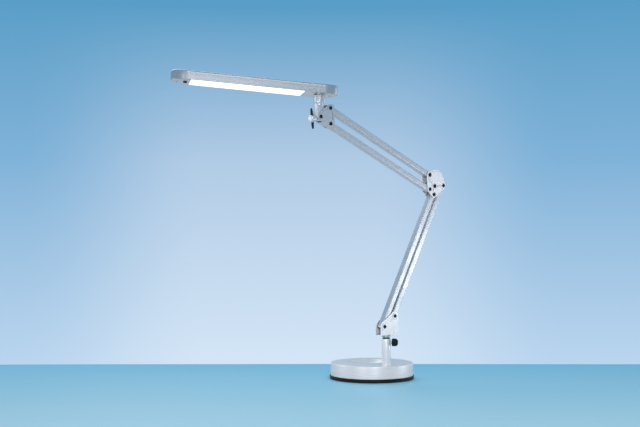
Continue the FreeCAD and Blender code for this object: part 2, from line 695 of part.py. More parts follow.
def elbow_plate():
    """The front plate: a flat fan with two raised fields, above and below the line from tie to rear pivot."""
    screws = (elbow_front, elbow_rear, elbow_top, elbow_bottom, elbow_tie_point)
    plate = Part.Face(fan_outline(0, post_y - outer_y)).extrude(V(0, sheet, 0))
    raised = Part.Face(fan_outline(-emboss_inset, post_y - outer_y - emboss_height)).extrude(V(0, emboss_height, 0))
    tie_clear = emboss_clear / 2
    sector = [
        (elbow_tie_point[0], elbow_tie_point[1], tie_clear),
        (elbow_rear[0], elbow_rear[1], elbow_lug),
        (elbow_rear[0], elbow_top[1], elbow_lug),
        (elbow_top[0], elbow_top[1], elbow_lug),
    ]
    lower_field = [
        (elbow_tie_point[0], elbow_tie_point[1], tie_clear),
        (elbow_front[0], elbow_front[1], tie_clear),
        (elbow_rear[0], elbow_rear[1], elbow_lug),
    ]
    split = [
        (elbow_tie_point[0], elbow_tie_point[1], emboss_gap),
        (elbow_rear[0], elbow_rear[1], emboss_gap),
    ]
    fields = belt_plate(sector, -outer_y - emboss_height, -outer_y)
    fields = fields.fuse(belt_plate(lower_field, -outer_y - emboss_height, -outer_y))
    fields = fields.cut(belt_plate(split, -outer_y - 2 * emboss_height, -outer_y))
    raised = raised.common(fields)
    for point in screws:
        raised = raised.cut(arm_rod(point, emboss_clear, -2 * outer_y, 0))
    plate = plate.fuse(raised)
    for point in screws:
        plate = plate.cut(arm_rod(point, pivot_bore_radius, -2 * outer_y, 0))
    for step in elbow_small_holes:
        plate = plate.cut(arm_rod(shifted(elbow_bottom, step), small_hole_radius, -2 * outer_y, 0))
    return plate


def head_plate():
    """The front plate: a rounded triangle with a raised middle between its three screws, and a slot."""
    screws = (nod_point, head_bottom, head_top)
    bottom_edge = shifted(head_bottom, (head_edge_reach, 0))
    top_edge = shifted(head_top, (head_edge_reach, 0))
    corners = (nod_point, head_bottom, bottom_edge, top_edge, head_top)
    plate = belt_plate([(p[0], p[1], head_lug) for p in corners], -outer_y, -inner_y)
    inner_lug = head_lug - emboss_inset
    raised = belt_plate([(p[0], p[1], inner_lug) for p in screws], -outer_y - emboss_height, -outer_y)
    for point in screws:
        raised = raised.cut(arm_rod(point, emboss_clear, -2 * outer_y, 0))
    plate = plate.fuse(raised)
    for point in screws:
        plate = plate.cut(arm_rod(point, pivot_bore_radius, -2 * outer_y, 0))
    for step in head_small_holes:
        plate = plate.cut(arm_rod(shifted(head_top, step), small_hole_radius, -2 * outer_y, 0))
    slot_high = shifted(head_top, (head_slot_place, -head_slot_top))
    slot_low = shifted(slot_high, (0, -head_slot_run))
    slot = [(p[0], p[1], head_slot_radius) for p in (slot_low, slot_high)]
    return plate.cut(belt_plate(slot, -2 * outer_y, 0))


def head_web():
    """The web that joins the two plates along their lower edge, flush with it."""
    reach = math.hypot(head_bottom[0] - nod_point[0], head_bottom[1] - nod_point[1])
    run = V(head_bottom[0] - nod_point[0], 0, head_bottom[1] - nod_point[1]) * (1 / reach)
    outward = V(run.z, 0, -run.x)
    origin = V(nod_point[0], post_y - inner_y, nod_point[1])
    near = origin + run * head_web_start
    far = origin + run * (reach - head_web_stop)
    corners = [near + outward * head_lug, far + outward * head_lug]
    corners += [far + outward * (head_lug - sheet), near + outward * (head_lug - sheet)]
    return Part.Face(Part.makePolygon(corners + [corners[0]])).extrude(V(0, 2 * inner_y, 0))


# ---- head joint, drawn with the nod pivot at the origin and the stem along +Z ------------------
def nodded(shape):
    """Raises the head's far end by the rest angle and moves the piece to the nod pivot."""
    shape.rotate(ORIGIN, Y_AXIS, nod_rest)
    shape.translate(V(nod_point[0], post_y, nod_point[1]))
    return shape


def head_placed(shape):
    """Turns a piece of the head about the stem by the rest swivel, then nods it."""
    shape.rotate(ORIGIN, Z_AXIS, swivel_rest)
    return nodded(shape)


def knuckle():
    half_width = inner_y - free_gap
    outline = [
        V(-knuckle_radius, 0, 0), V(-knuckle_radius, 0, knuckle_round_start + 2),
        V(knuckle_radius, 0, knuckle_round_start + 2), V(knuckle_radius, 0, 0),
    ]
    edges = [Part.LineSegment(outline[k], outline[k + 1]).toShape() for k in range(3)]
    edges.append(Part.Arc(outline[3], V(0, 0, -knuckle_radius), outline[0]).toShape())
    tongue = Part.Face(Part.Wire(edges)).extrude(V(0, 2 * half_width, 0))
    tongue.translate(V(0, -half_width, 0))
    turned_down = rod(V(0, 0, -knuckle_top), Z_AXIS, knuckle_round_radius + knuckle_cheek, 2 * knuckle_top)
    tongue = tongue.common(turned_down)
    taper = Part.makeCone(knuckle_radius, knuckle_round_radius, 2, V(0, 0, knuckle_round_start), Z_AXIS)
    upper_height = knuckle_top - knuckle_round_start - 2
    upper = Part.makeCylinder(knuckle_round_radius, upper_height, V(0, 0, knuckle_round_start + 2), Z_AXIS)
    barrel = along_wing_screw(rod(ORIGIN, X_AXIS * -1, barrel_radius, barrel_front))
    body = tongue.fuse(taper).fuse(upper).fuse(barrel)
    body = body.cut(rod(V(0, -bar_width, 0), Y_AXIS, nod_bush_radius + running_gap, 2 * bar_width))
    stem_bore = rod(V(0, 0, knuckle_top - knuckle_bore_depth), Z_AXIS, stem_radius + running_gap, knuckle_bore_depth + 1)
    body = body.cut(stem_bore)
    thread = rod(V(-barrel_front - 1, 0, 0), X_AXIS, wing_screw_radius + running_gap, barrel_front)
    body = body.cut(along_wing_screw(thread))
    grub_hole = rod(V(0, 0, grub_height), X_AXIS, grub_radius + press_gap, 2 * knuckle_round_radius)
    return nodded(body.cut(grub_hole))


def grub_screw():
    tip = stem_radius - stem_groove / 2
    body = rod(V(tip, 0, grub_height), X_AXIS, grub_radius, knuckle_round_radius - tip - 0.6)
    return nodded(body)


def along_wing_screw(shape):
    """Tips a piece drawn along -X down to the wing screw's axis, which passes through the nod pivot."""
    shape.rotate(ORIGIN, Y_AXIS, -wing_drop)
    return shape


def wing_turned(shape):
    """Turns a piece of the wing knob about the wing screw's axis and places it on the knuckle."""
    shape.rotate(ORIGIN, X_AXIS, wing_turn)
    return nodded(along_wing_screw(shape))


def wing_screw():
    start = V(-barrel_front + wing_screw_depth, 0, 0)
    length = wing_screw_depth + free_gap + wing_hub_length / 2
    return wing_turned(rod(start, X_AXIS * -1, wing_screw_radius, length))


def wing_hub():
    hub_face = -barrel_front - free_gap
    hub = rod(V(hub_face, 0, 0), X_AXIS * -1, wing_hub_radius, wing_hub_length)
    far_edge = [edge for edge in hub.Edges if abs(edge.BoundBox.XMax - (hub_face - wing_hub_length)) < 1e-6]
    hub = hub.makeFillet(wing_hub_dome, far_edge)
    near_edge = [edge for edge in hub.Edges if abs(edge.BoundBox.XMin - hub_face) < 1e-6]
    hub = hub.makeChamfer(0.6, near_edge)
    screw_hole = rod(V(hub_face + 1, 0, 0), X_AXIS * -1, wing_screw_radius + press_gap, wing_hub_length / 2 + 1)
    return wing_turned(hub.cut(screw_hole).cut(wing_solid(press_gap)))


def wing_solid(grow):
    """The two blades as one plate through the hub: wide at the hub and tapering to round tips."""
    middle = -barrel_front - free_gap - wing_hub_length * 0.55
    half_span = wing_span / 2
    tip = wing_tip_width / 2
    root = wing_root_width / 2
    thick = wing_thickness / 2 + grow
    blades = None
    for side in (-1, 1):
        lugs = [(0, 0, root + grow), (0, side * (half_span - tip), tip + grow)]
        outline = belt_wire(lugs, 0)
        blade = Part.Face(outline).extrude(V(0, 2 * thick, 0))
        blades = blade if blades is None else blades.fuse(blade)
    blades.translate(V(0, -thick, 0))
    blades.rotate(ORIGIN, Z_AXIS, 90)
    blades.translate(V(middle, 0, 0))
    return blades


def wing_blades():
    blades = wing_solid(0)
    screw_end = -barrel_front - free_gap - wing_hub_length / 2
    screw_room = rod(ORIGIN, X_AXIS * -1, wing_screw_radius + press_gap, -screw_end)
    return wing_turned(blades.cut(screw_room))


# ---- head, drawn along -X from the stem ---------------------------------------------------
near_end = stem_from_end
far_end = stem_from_end - lamp_length
end_radius = lamp_width / 2
lamp_z = head_underside
plate_z = lamp_z + lamp_base_thick
side_top = plate_z + lamp_side_height
diffuser_far = far_end + diffuser_from_end
diffuser_middle = diffuser_far + diffuser_length / 2
button_x = far_end + button_from_end
lamp_screw_places = (far_end + lamp_screw_from_end, near_end - lamp_screw_from_end)


def stadium(inset, z_from, z_to):
    """A solid with the head's plan, a straight-sided slot shape, drawn in by an inset."""
    radius = end_radius - inset
    near = near_end - end_radius
    far = far_end + end_radius
    edges = [
        Part.LineSegment(V(far, -radius, z_from), V(near, -radius, z_from)).toShape(),
        Part.Arc(V(near, -radius, z_from), V(near + radius, 0, z_from), V(near, radius, z_from)).toShape(),
        Part.LineSegment(V(near, radius, z_from), V(far, radius, z_from)).toShape(),
        Part.Arc(V(far, radius, z_from), V(far - radius, 0, z_from), V(far, -radius, z_from)).toShape(),
    ]
    return Part.Face(Part.Wire(edges)).extrude(V(0, 0, z_to - z_from))


def rounded_slab(middle_x, length, width, z_from, z_to, corner):
    slab = Part.makeBox(length, width, z_to - z_from, V(middle_x - length / 2, -width / 2, z_from))
    upright = [edge for edge in slab.Edges if edge.BoundBox.ZLength > (z_to - z_from) * 0.99]
    return slab.makeFillet(corner, upright)


def crowned(inset):
    """The head's plan under a wide arch that is highest along the middle."""
    arch_radius = (end_radius ** 2 + lamp_crown ** 2) / (2 * lamp_crown)
    top = side_top + lamp_crown
    arch = rod(V(far_end - 10, 0, top - arch_radius), X_AXIS, arch_radius - inset, lamp_length + 20)
    return stadium(inset, plate_z, top + 5).common(arch)


def lamp_shell():
    outer = crowned(0)
    crest = [edge for edge in outer.Edges if edge.BoundBox.ZMin > side_top - 0.6 and edge.BoundBox.ZMax < side_top + lamp_crown + 1]
    outer = outer.makeFillet(lamp_edge_round, crest)
    shell = outer.cut(crowned(shell_wall).common(stadium(shell_wall, plate_z - 1, side_top + 20)))
    for x in lamp_screw_places:
        boss = rod(V(x, 0, plate_z), Z_AXIS, lamp_screw_boss_radius, side_top + lamp_crown - plate_z - shell_wall / 2)
        shell = shell.fuse(boss.common(crowned(shell_wall / 2)))
        shell = shell.cut(rod(V(x, 0, plate_z - 1), Z_AXIS, lamp_screw_radius + press_gap, lamp_side_height * 0.6))
    return head_placed(shell)


def lamp_base():
    body = stadium(0, lamp_z, plate_z)
    low_edges = [edge for edge in body.Edges if edge.BoundBox.ZMax < lamp_z + 1e-6]
    body = body.makeFillet(0.8, low_edges)
    window_length = diffuser_length + 2 * hole_gap
    window_width = diffuser_width + 2 * hole_gap
    window = rounded_slab(diffuser_middle, window_length, window_width, lamp_z - 1, plate_z + 1, diffuser_corner)
    body = body.cut(window)
    body = body.cut(rod(V(0, 0, lamp_z - 1), Z_AXIS, stem_thread_radius + hole_gap, lamp_base_thick + 2))
    body = body.cut(rod(V(button_x, 0, lamp_z - 1), Z_AXIS, button_radius + hole_gap, lamp_base_thick + 2))
    for x in lamp_screw_places:
        body = body.cut(rod(V(x, 0, lamp_z - 1), Z_AXIS, lamp_screw_radius + hole_gap, lamp_base_thick + 2))
        body = body.cut(rod(V(x, 0, lamp_z - 1), Z_AXIS, lamp_screw_head_radius + hole_gap, lamp_screw_head + 1))
    return head_placed(body)


def lamp_screws():
    screws = []
    for x in lamp_screw_places:
        head = rod(V(x, 0, lamp_z + 0.3), Z_AXIS, lamp_screw_head_radius, lamp_screw_head - 0.3)
        shank = rod(V(x, 0, lamp_z + lamp_screw_head), Z_AXIS, lamp_screw_radius, lamp_base_thick + lamp_side_height * 0.3)
        slot = Part.makeBox(2 * lamp_screw_head_radius, 0.8, 0.7, V(x - lamp_screw_head_radius, -0.4, lamp_z + 0.3))
        screws.append(head.fuse(shank).cut(slot))
    return head_placed(Part.makeCompound(screws))


def diffuser():
    window = rounded_slab(diffuser_middle, diffuser_length, diffuser_width, lamp_z, plate_z, diffuser_corner)
    lip_length = diffuser_length + 2 * diffuser_lip
    lip_width = diffuser_width + 2 * diffuser_lip
    lip = rounded_slab(diffuser_middle, lip_length, lip_width, plate_z, plate_z + diffuser_flange, diffuser_corner)
    return head_placed(window.fuse(lip))


def reflector():
    """A trough with sloping sides, wide at the diffuser and closed by the board above."""
    low = plate_z + diffuser_flange
    high = low + reflector_height
    half_low = diffuser_width / 2
    half_high = board_width / 2
    length = diffuser_length - 2
    def trough(inset):
        section = [V(0, -half_low + inset, low), V(0, half_low - inset, low),
                   V(0, half_high - inset, high), V(0, -half_high + inset, high)]
        face = Part.Face(Part.makePolygon(section + [section[0]]))
        body = face.extrude(V(length - 2 * inset, 0, 0))
        body.translate(V(diffuser_middle - length / 2 + inset, 0, 0))
        return body
    return head_placed(trough(0).cut(trough(reflector_wall)))


def board_z():
    return plate_z + diffuser_flange + reflector_height


def led_board():
    slab = Part.makeBox(board_length, board_width, board_thick, V(diffuser_middle - board_length / 2, -board_width / 2, board_z()))
    return head_placed(slab)


def led_chips():
    chips = []
    pitch = board_length / chip_columns
    row_pitch = board_width / (chip_rows + 1)
    for column in range(chip_columns):
        for row in range(chip_rows):
            x = diffuser_middle - board_length / 2 + (column + 0.5) * pitch
            y = -board_width / 2 + (row + 1) * row_pitch
            corner = V(x - chip_size / 2, y - chip_size / 2, board_z() - chip_height)
            chips.append(Part.makeBox(chip_size, chip_size, chip_height, corner))
    return head_placed(Part.makeCompound(chips))


def head_stem():
    spigot_low = knuckle_top - knuckle_bore_depth + 1
    groove_low = grub_height - stem_groove_height / 2
    groove_high = grub_height + stem_groove_height / 2
    collar_low = knuckle_top + free_gap
    thread_top = plate_z + stem_thread_length
    profile = [
        (spigot_low, 0), (spigot_low, stem_radius), (groove_low, stem_radius), (groove_low, stem_radius - stem_groove),
        (groove_high, stem_radius - stem_groove), (groove_high, stem_radius), (collar_low, stem_radius),
        (collar_low, collar_radius - collar_edge), (collar_low + collar_edge, collar_radius),
        (lamp_z - collar_edge, collar_radius), (lamp_z, collar_radius - collar_edge / 2),
        (lamp_z, stem_thread_radius), (thread_top, stem_thread_radius), (thread_top, 0),
    ]
    return head_placed(lathe(profile, ORIGIN, Z_AXIS))


def stem_nut():
    width = 2 * stem_nut_radius * math.cos(math.pi / 6)
    body = hexagon(V(0, 0, plate_z), Z_AXIS, width, stem_nut_height)
    return head_placed(body.cut(rod(V(0, 0, plate_z - 1), Z_AXIS, stem_thread_radius + press_gap, stem_nut_height + 2)))


def button_flange_z():
    return plate_z + 0.2


def push_button():
    top = button_flange_z() + button_flange
    profile = [
        (lamp_z - button_stand_out, 0), (lamp_z - button_stand_out, button_radius - 0.9),
        (lamp_z - button_stand_out + 0.9, button_radius), (button_flange_z(), button_radius),
        (button_flange_z(), button_flange_radius), (top, button_flange_radius), (top, button_pin_radius),
        (top + button_pin, button_pin_radius), (top + button_pin, 0),
    ]
    return head_placed(lathe(profile, V(button_x, 0, 0), Z_AXIS))


def button_spring():
    low = button_flange_z() + button_flange
    outer = rod(V(button_x, 0, low), Z_AXIS, button_pin_radius + free_gap + button_spring_wire, switch_room)
    return head_placed(outer.cut(rod(V(button_x, 0, low - 1), Z_AXIS, button_pin_radius + free_gap, switch_room + 2)))


def switch_body():
    """A block over the button with two legs that stand on the base plate."""
    low = button_flange_z() + button_flange + switch_room
    block = Part.makeBox(switch_width, switch_depth, switch_height, V(button_x - switch_width / 2, -switch_depth / 2, low))
    for x in (button_x - switch_width / 2, button_x + switch_width / 2 - switch_leg):
        block = block.fuse(Part.makeBox(switch_leg, switch_depth, low - plate_z + 1, V(x, -switch_depth / 2, plate_z)))
    return head_placed(block)


# ---- assembly -----------------------------------------------------------------------------
elbow_points = (elbow_front, elbow_rear, elbow_top, elbow_bottom, elbow_tie_point)
head_points = (head_bottom, head_top, nod_point)
foot_points = (foot_front, foot_rear)
foot_face = outer_y + foot_boss_height

nodes = {
    "base_pad": rod(ORIGIN, Z_AXIS, pad_radius, pad_height),
    "base_pan": base_pan(),
    "base_weight": base_weight(),
    "base_cover": base_cover(),
    "pan_screws": pan_screws(),
    "cord_gland": cord_gland(),
    "post": post(),
    "post_nut": post_nut(),
    "post_bush": post_bush(),
    "clamp_knob": clamp_knob(),
    "clamp_screw": clamp_screw(),
    "swivel_spigot": swivel_spigot(),
    "thrust_washer": thrust_washer(),
    "spigot_nut": spigot_nut(),
    "foot_bracket": foot_bracket(),
    "foot_pivot_screws": Part.makeCompound([pivot_screw(p, foot_face) for p in foot_points]),
    "foot_pivot_nuts": Part.makeCompound([pivot_nut(p, foot_face) for p in foot_points]),
    "foot_spring_pin": arm_rod(foot_pin_point, spring_pin_radius, -outer_y, outer_y),
    "lower_front_bar": bar(foot_front, elbow_front),
    "lower_front_bushes": Part.makeCompound([bar_bush(p) for p in (foot_front, elbow_front)]),
    "lower_rear_bar": bar(foot_rear, elbow_rear, foot_pin_point),
    "lower_rear_bushes": Part.makeCompound([bar_bush(p) for p in (foot_rear, elbow_rear)]),
    "lower_spring": balance_spring(foot_rear, elbow_rear, foot_pin_point, spring_pin_radius),
    "lower_spring_pin": spring_pin(foot_rear, elbow_rear),
    "elbow_plate_front": elbow_plate(),
    "elbow_plate_rear": mirrored(elbow_plate()),
    "elbow_tie": sleeve_between_plates(elbow_tie_point, tie_radius),
    "elbow_screws": Part.makeCompound([pivot_screw(p, outer_y) for p in elbow_points]),
    "elbow_nuts": Part.makeCompound([pivot_nut(p, outer_y) for p in elbow_points]),
    "upper_bottom_bar": bar(elbow_bottom, head_bottom, elbow_tie_point),
    "upper_bottom_bushes": Part.makeCompound([bar_bush(p) for p in (elbow_bottom, head_bottom)]),
    "upper_spring": balance_spring(elbow_bottom, head_bottom, elbow_tie_point, tie_radius),
    "upper_spring_pin": spring_pin(elbow_bottom, head_bottom),
    "upper_top_bar": bar(elbow_top, head_top),
    "upper_top_bushes": Part.makeCompound([bar_bush(p) for p in (elbow_top, head_top)]),
    "head_plate_front": head_plate(),
    "head_plate_rear": mirrored(head_plate()).fuse(head_web()),
    "nod_bush": sleeve_between_plates(nod_point, nod_bush_radius),
    "head_plate_screws": Part.makeCompound([pivot_screw(p, outer_y) for p in head_points]),
    "head_plate_nuts": Part.makeCompound([pivot_nut(p, outer_y) for p in head_points]),
    "knuckle": knuckle(),
    "grub_screw": grub_screw(),
    "wing_screw": wing_screw(),
    "wing_hub": wing_hub(),
    "wing_blades": wing_blades(),
    "head_stem": head_stem(),
    "stem_nut": stem_nut(),
    "lamp_base": lamp_base(),
    "lamp_shell": lamp_shell(),
    "lamp_screws": lamp_screws(),
    "diffuser": diffuser(),
    "reflector": reflector(),
    "led_board": led_board(),
    "led_chips": led_chips(),
    "switch_body": switch_body(),
    "push_button": push_button(),
    "button_spring": button_spring(),
}

os.makedirs("parts", exist_ok=True)
for name, shape in nodes.items():
    shape.exportStep("parts/" + name + ".step")
    box = shape.BoundBox
    print(f"{name}: {len(shape.Solids)} solid(s), valid {shape.isValid()}, {shape.Volume / 1000:.2f} cm3")
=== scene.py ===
import json
import math

import bmesh
import bpy
import numpy as np
from bpy.props import FloatProperty, FloatVectorProperty, IntProperty, PointerProperty
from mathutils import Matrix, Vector

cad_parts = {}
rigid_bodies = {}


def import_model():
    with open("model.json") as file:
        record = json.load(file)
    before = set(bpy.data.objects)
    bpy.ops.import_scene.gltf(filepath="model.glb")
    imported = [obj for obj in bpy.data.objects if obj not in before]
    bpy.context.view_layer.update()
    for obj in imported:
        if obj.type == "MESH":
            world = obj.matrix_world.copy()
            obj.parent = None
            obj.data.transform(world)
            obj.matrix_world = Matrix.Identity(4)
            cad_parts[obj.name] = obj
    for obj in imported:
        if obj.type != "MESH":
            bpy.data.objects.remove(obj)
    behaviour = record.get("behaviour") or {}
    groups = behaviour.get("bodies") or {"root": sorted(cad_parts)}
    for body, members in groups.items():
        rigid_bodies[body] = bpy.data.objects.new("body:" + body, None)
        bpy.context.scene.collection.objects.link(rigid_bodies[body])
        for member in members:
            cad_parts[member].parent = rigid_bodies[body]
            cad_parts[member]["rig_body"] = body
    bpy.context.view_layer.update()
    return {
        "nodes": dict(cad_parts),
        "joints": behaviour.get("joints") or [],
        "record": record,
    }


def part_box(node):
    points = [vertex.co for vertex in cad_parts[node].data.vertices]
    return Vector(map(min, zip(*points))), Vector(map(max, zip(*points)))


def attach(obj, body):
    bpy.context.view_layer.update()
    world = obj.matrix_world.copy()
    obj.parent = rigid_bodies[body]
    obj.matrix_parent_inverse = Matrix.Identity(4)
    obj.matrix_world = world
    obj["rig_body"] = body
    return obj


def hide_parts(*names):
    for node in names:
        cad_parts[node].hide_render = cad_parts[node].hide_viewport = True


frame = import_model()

bl_info = {
    "name": "Balanced Arm Lamp",
    "version": (1, 0, 0),
    "blender": (4, 5, 0),
    "location": "View3D > Sidebar > Lamp",
    "description": "Finishes a balanced-arm desk lamp around its packed model",
    "category": "Object",
}

MM = 0.001
SLOTS = {part["node"]: part["material_slot"] for part in frame["record"]["subparts"]}
JOINTS = {joint["name"]: joint for joint in frame["joints"]}


# ---- where things are ------------------------------------------------------------------------
def joint_place(name):
    return np.array(JOINTS[name]["pos_m"], float)


def joint_axis(name):
    axis = np.array(JOINTS[name]["axis"], float)
    return axis / np.linalg.norm(axis)


def node_middle(node):
    low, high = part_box(node)
    return np.array((low + high) / 2)


def cross_frame(forward, up):
    """Three unit rows: forward made square to up, the side that completes a right hand, and up."""
    up = up / np.linalg.norm(up)
    forward = forward - up * np.dot(forward, up)
    forward = forward / np.linalg.norm(forward)
    return np.array([forward, np.cross(up, forward), up])


BASE_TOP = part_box("base_cover")[1].z
POST = node_middle("post") * np.array([1, 1, 0])
NOD = joint_place("head_nod")
STEM_UP = joint_axis("head_swivel")
HEAD_AXES = cross_frame(NOD - node_middle("push_button"), STEM_UP)


def in_head(points):
    """Points given from the nod pivot, along the head, across it and up the stem, in the row frame."""
    return NOD + np.asarray(points) @ HEAD_AXES


def node_points(node):
    """The corner points of a CAD node, in the row frame."""
    mesh = frame["nodes"][node].data
    points = np.empty(len(mesh.vertices) * 3, np.float32)
    mesh.vertices.foreach_get("co", points)
    return points.reshape(-1, 3).astype(float)


def head_span(node):
    """The lowest and highest head coordinates that a CAD node reaches."""
    local = (node_points(node) - NOD) @ HEAD_AXES.T
    return local.min(0), local.max(0)


# ---- sizes and colours that a user would change -------------------------------------------------
class LampSizes(bpy.types.PropertyGroup):
    cover_edge: FloatProperty(
        name="Cover edge", description="Rounding of the base cover's rim", default=0.003, min=0.0005, max=0.006,
        unit="LENGTH")
    dish_softness: FloatProperty(
        name="Dish softness", description="Rounding where the dish meets the top and its floor", default=0.0035,
        min=0.0005, max=0.006, unit="LENGTH")
    post_edge: FloatProperty(
        name="Post edge", description="Rounding at the post's top", default=0.0007, min=0.0001, max=0.002,
        unit="LENGTH")
    knob_flutes: IntProperty(name="Knob flutes", description="Grooves round the clamp knob", default=10, min=3, max=24)
    flute_depth: FloatProperty(
        name="Flute depth", description="Depth of the clamp knob's grooves", default=0.0008, min=0.0, max=0.002,
        unit="LENGTH")
    head_edge: FloatProperty(
        name="Head edge", description="Rounding of the head's upper edge", default=0.0040, min=0.0005, max=0.004,
        unit="LENGTH")
    sheet_edge: FloatProperty(
        name="Sheet edge", description="Softening of the edges of folded and punched sheet", default=0.00022,
        min=0.00005, max=0.0006, unit="LENGTH")
    spring_wire: FloatProperty(
        name="Spring wire", description="Thickness of the balance springs' wire", default=0.0013, min=0.0005, max=0.002,
        unit="LENGTH")


class LampColours(bpy.types.PropertyGroup):
    silver: FloatVectorProperty(
        name="Silver paint", description="Colour of the arm", default=(0.60, 0.61, 0.64), min=0, max=1,
        subtype="COLOR")
    # Painted shade: the head's paint is darkened by this factor, to stand for the shade on the head's side.
    head_painted_shade: FloatProperty(
        name="Head shade", description="Brightness of the head's paint beside the arm's", default=0.6, min=0.2, max=1.2)
    silver_light: FloatVectorProperty(
        name="Silver paint, light", description="The paint's lighter flecks", default=(0.68, 0.69, 0.72), min=0, max=1,
        subtype="COLOR")
    # Painted shade: the colour laid in the corners of the raised fields, where shade falls.
    painted_corner_shade: FloatVectorProperty(
        name="Painted corner shade", description="Colour in the corners of the raised fields", default=(0.07, 0.07, 0.08), min=0,
        max=1, subtype="COLOR")
    brushed: FloatVectorProperty(
        name="Brushed metal", description="Colour of the base cover and post", default=(0.80, 0.80, 0.82), min=0, max=1,
        subtype="COLOR")
    polished: FloatVectorProperty(
        name="Polished metal", description="Colour of the stem, hub and clamp screw", default=(0.60, 0.62, 0.65), min=0,
        max=1, subtype="COLOR")
    black: FloatVectorProperty(
        name="Black plastic", description="Colour of knobs, pan and button", default=(0.006, 0.006, 0.007), min=0,
        max=1, subtype="COLOR")
    floor: FloatVectorProperty(
        name="Floor", description="Colour of the floor", default=(0.53, 0.86, 1.0), min=0, max=1, subtype="COLOR")
    floor_far: FloatVectorProperty(
        name="Floor, far", description="Colour at the floor's far edge", default=(0.27, 0.71, 1.0), min=0, max=1,
        subtype="COLOR")
    floor_bounce: FloatVectorProperty(
        name="Floor bounce", description="Colour of the light that the floor throws up", default=(0.8, 0.8, 0.8), min=0,
        max=1, subtype="COLOR")
    horizon: FloatVectorProperty(
        name="Horizon", description="Backdrop colour just above the floor", default=(0.65, 0.78, 0.92), min=0, max=1,
        subtype="COLOR")
    backdrop: FloatVectorProperty(
        name="Backdrop, top", description="Backdrop colour above the lamp", default=(0.10, 0.34, 0.575), min=0, max=1,
        subtype="COLOR")
    glow: FloatProperty(
        name="Diffuser glow", description="Strength of the lit diffuser", default=1.0, min=0, max=5)


# ---- node materials ----------------------------------------------------------------------------
def added(tree, kind, inputs=(), **settings):
    """A new node with its settings. Each input is joined where an output is given, and set where a value is."""
    node = tree.nodes.new("ShaderNode" + kind)
    for key, value in settings.items():
        setattr(node, key, value)
    for socket, value in inputs:
        if isinstance(value, bpy.types.NodeSocket):
            tree.links.new(value, node.inputs[socket])
        else:
            node.inputs[socket].default_value = value
    return node


def span(value, start, end, low, high):
    """The inputs of a Map Range node."""
    return (("Value", value), ("From Min", start), ("From Max", end), ("To Min", low), ("To Max", high))


class Shader:
    """A material with its principled shader, and the nodes that feed it."""

    def __init__(self, name, colour, metallic=0.0, roughness=0.5, **sockets):
        self.material = bpy.data.materials.new(name)
        self.material.use_nodes = True
        self.tree = self.material.node_tree
        self.body = self.tree.nodes["Principled BSDF"]
        self.body.inputs["Base Color"].default_value = (*colour[:3], 1)
        self.body.inputs["Metallic"].default_value = metallic
        self.body.inputs["Roughness"].default_value = roughness
        for socket, value in sockets.items():
            self.body.inputs[socket.replace("_", " ")].default_value = value
        self.coordinates = added(self.tree, "TexCoord").outputs["Object"]

    def join(self, output, target):
        self.tree.links.new(output, target)

    def mapped(self, scale=(1, 1, 1), location=(0, 0, 0)):
        inputs = (("Vector", self.coordinates), ("Scale", scale), ("Location", location))
        return added(self.tree, "Mapping", inputs).outputs["Vector"]

    def noise(self, vector, scale, detail=2.0, roughness=0.5):
        inputs = (("Vector", vector), ("Scale", scale), ("Detail", detail), ("Roughness", roughness))
        return added(self.tree, "TexNoise", inputs).outputs["Fac"]

    def calculated(self, operation, first, second=0.0):
        return added(self.tree, "Math", ((0, first), (1, second)), operation=operation).outputs["Value"]

    def ranged(self, value, low, high, start=0.0, end=1.0):
        return added(self.tree, "MapRange", span(value, start, end, low, high)).outputs["Result"]

    def mixed(self, factor, first, second):
        inputs = (("A", (*first[:3], 1)), ("B", (*second[:3], 1)), ("Factor", factor))
        return added(self.tree, "Mix", inputs, data_type="RGBA").outputs["Result"]

    def coloured(self, factor, first, second):
        self.join(self.mixed(factor, first, second), self.body.inputs["Base Color"])

    def rough(self, factor, low, high, start=0.3, end=0.7):
        self.join(self.ranged(factor, low, high, start, end), self.body.inputs["Roughness"])

    def bumped(self, height, strength, distance):
        inputs = (("Height", height), ("Strength", strength), ("Distance", distance))
        self.join(added(self.tree, "Bump", inputs).outputs["Normal"], self.body.inputs["Normal"])


def shade(colour, factor):
    return tuple(min(1.0, channel * factor) for channel in colour[:3])


def silver_paint(name, colours):
    """Metallic paint: clouds of two greys, and patches a little duller by handling."""
    # The head's paint is darkened by its factor and the arm's by 0.88: painted shade, for the shade that they sit in.
    level, gloss = (colours.head_painted_shade, 0.6) if "head" in name else (0.88, 0.1)
    paint = Shader(name, shade(colours.silver, level), 0.55, 0.34, Coat_Weight=gloss, Coat_Roughness=0.25)
    flecks = paint.noise(paint.mapped(), 420, 2)
    paint.coloured(
        paint.ranged(flecks, 0, 1, 0.35, 0.65), shade(colours.silver, level), shade(colours.silver_light, level))
    paint.rough(paint.noise(paint.mapped(), 34, 3), 0.30, 0.40)
    return paint.material


def plate_paint(name, colours):
    """The same paint, painted lighter to stand for the light that the plates catch, with painted shade in the corners
    of the raised fields.
    """
    # Painted light: the plates' paint is a lighter copy of the arm's silver, standing for the light that they catch.
    paint = Shader(name, shade(colours.silver_light, 1.2), 0.25, 0.4, Coat_Weight=0.15, Coat_Roughness=0.3)
    # Painted shade: an ambient occlusion node darkens the corners of the raised fields towards the corner colour.
    corner = added(paint.tree, "AmbientOcclusion", (("Distance", 0.0026),))
    cloud = paint.noise(paint.mapped(), 90, 3)
    light = paint.mixed(cloud, shade(colours.silver_light, 1.16), shade(colours.silver_light, 1.3))
    corner_shaded = paint.mixed(paint.ranged(corner.outputs["AO"], 0, 1, 0.5, 0.9), colours.painted_corner_shade, (1, 1, 1))
    paint.join(light, corner_shaded.node.inputs["B"])
    paint.join(corner_shaded, paint.body.inputs["Base Color"])
    paint.rough(paint.noise(paint.mapped(), 34, 3), 0.36, 0.46)
    return paint.material


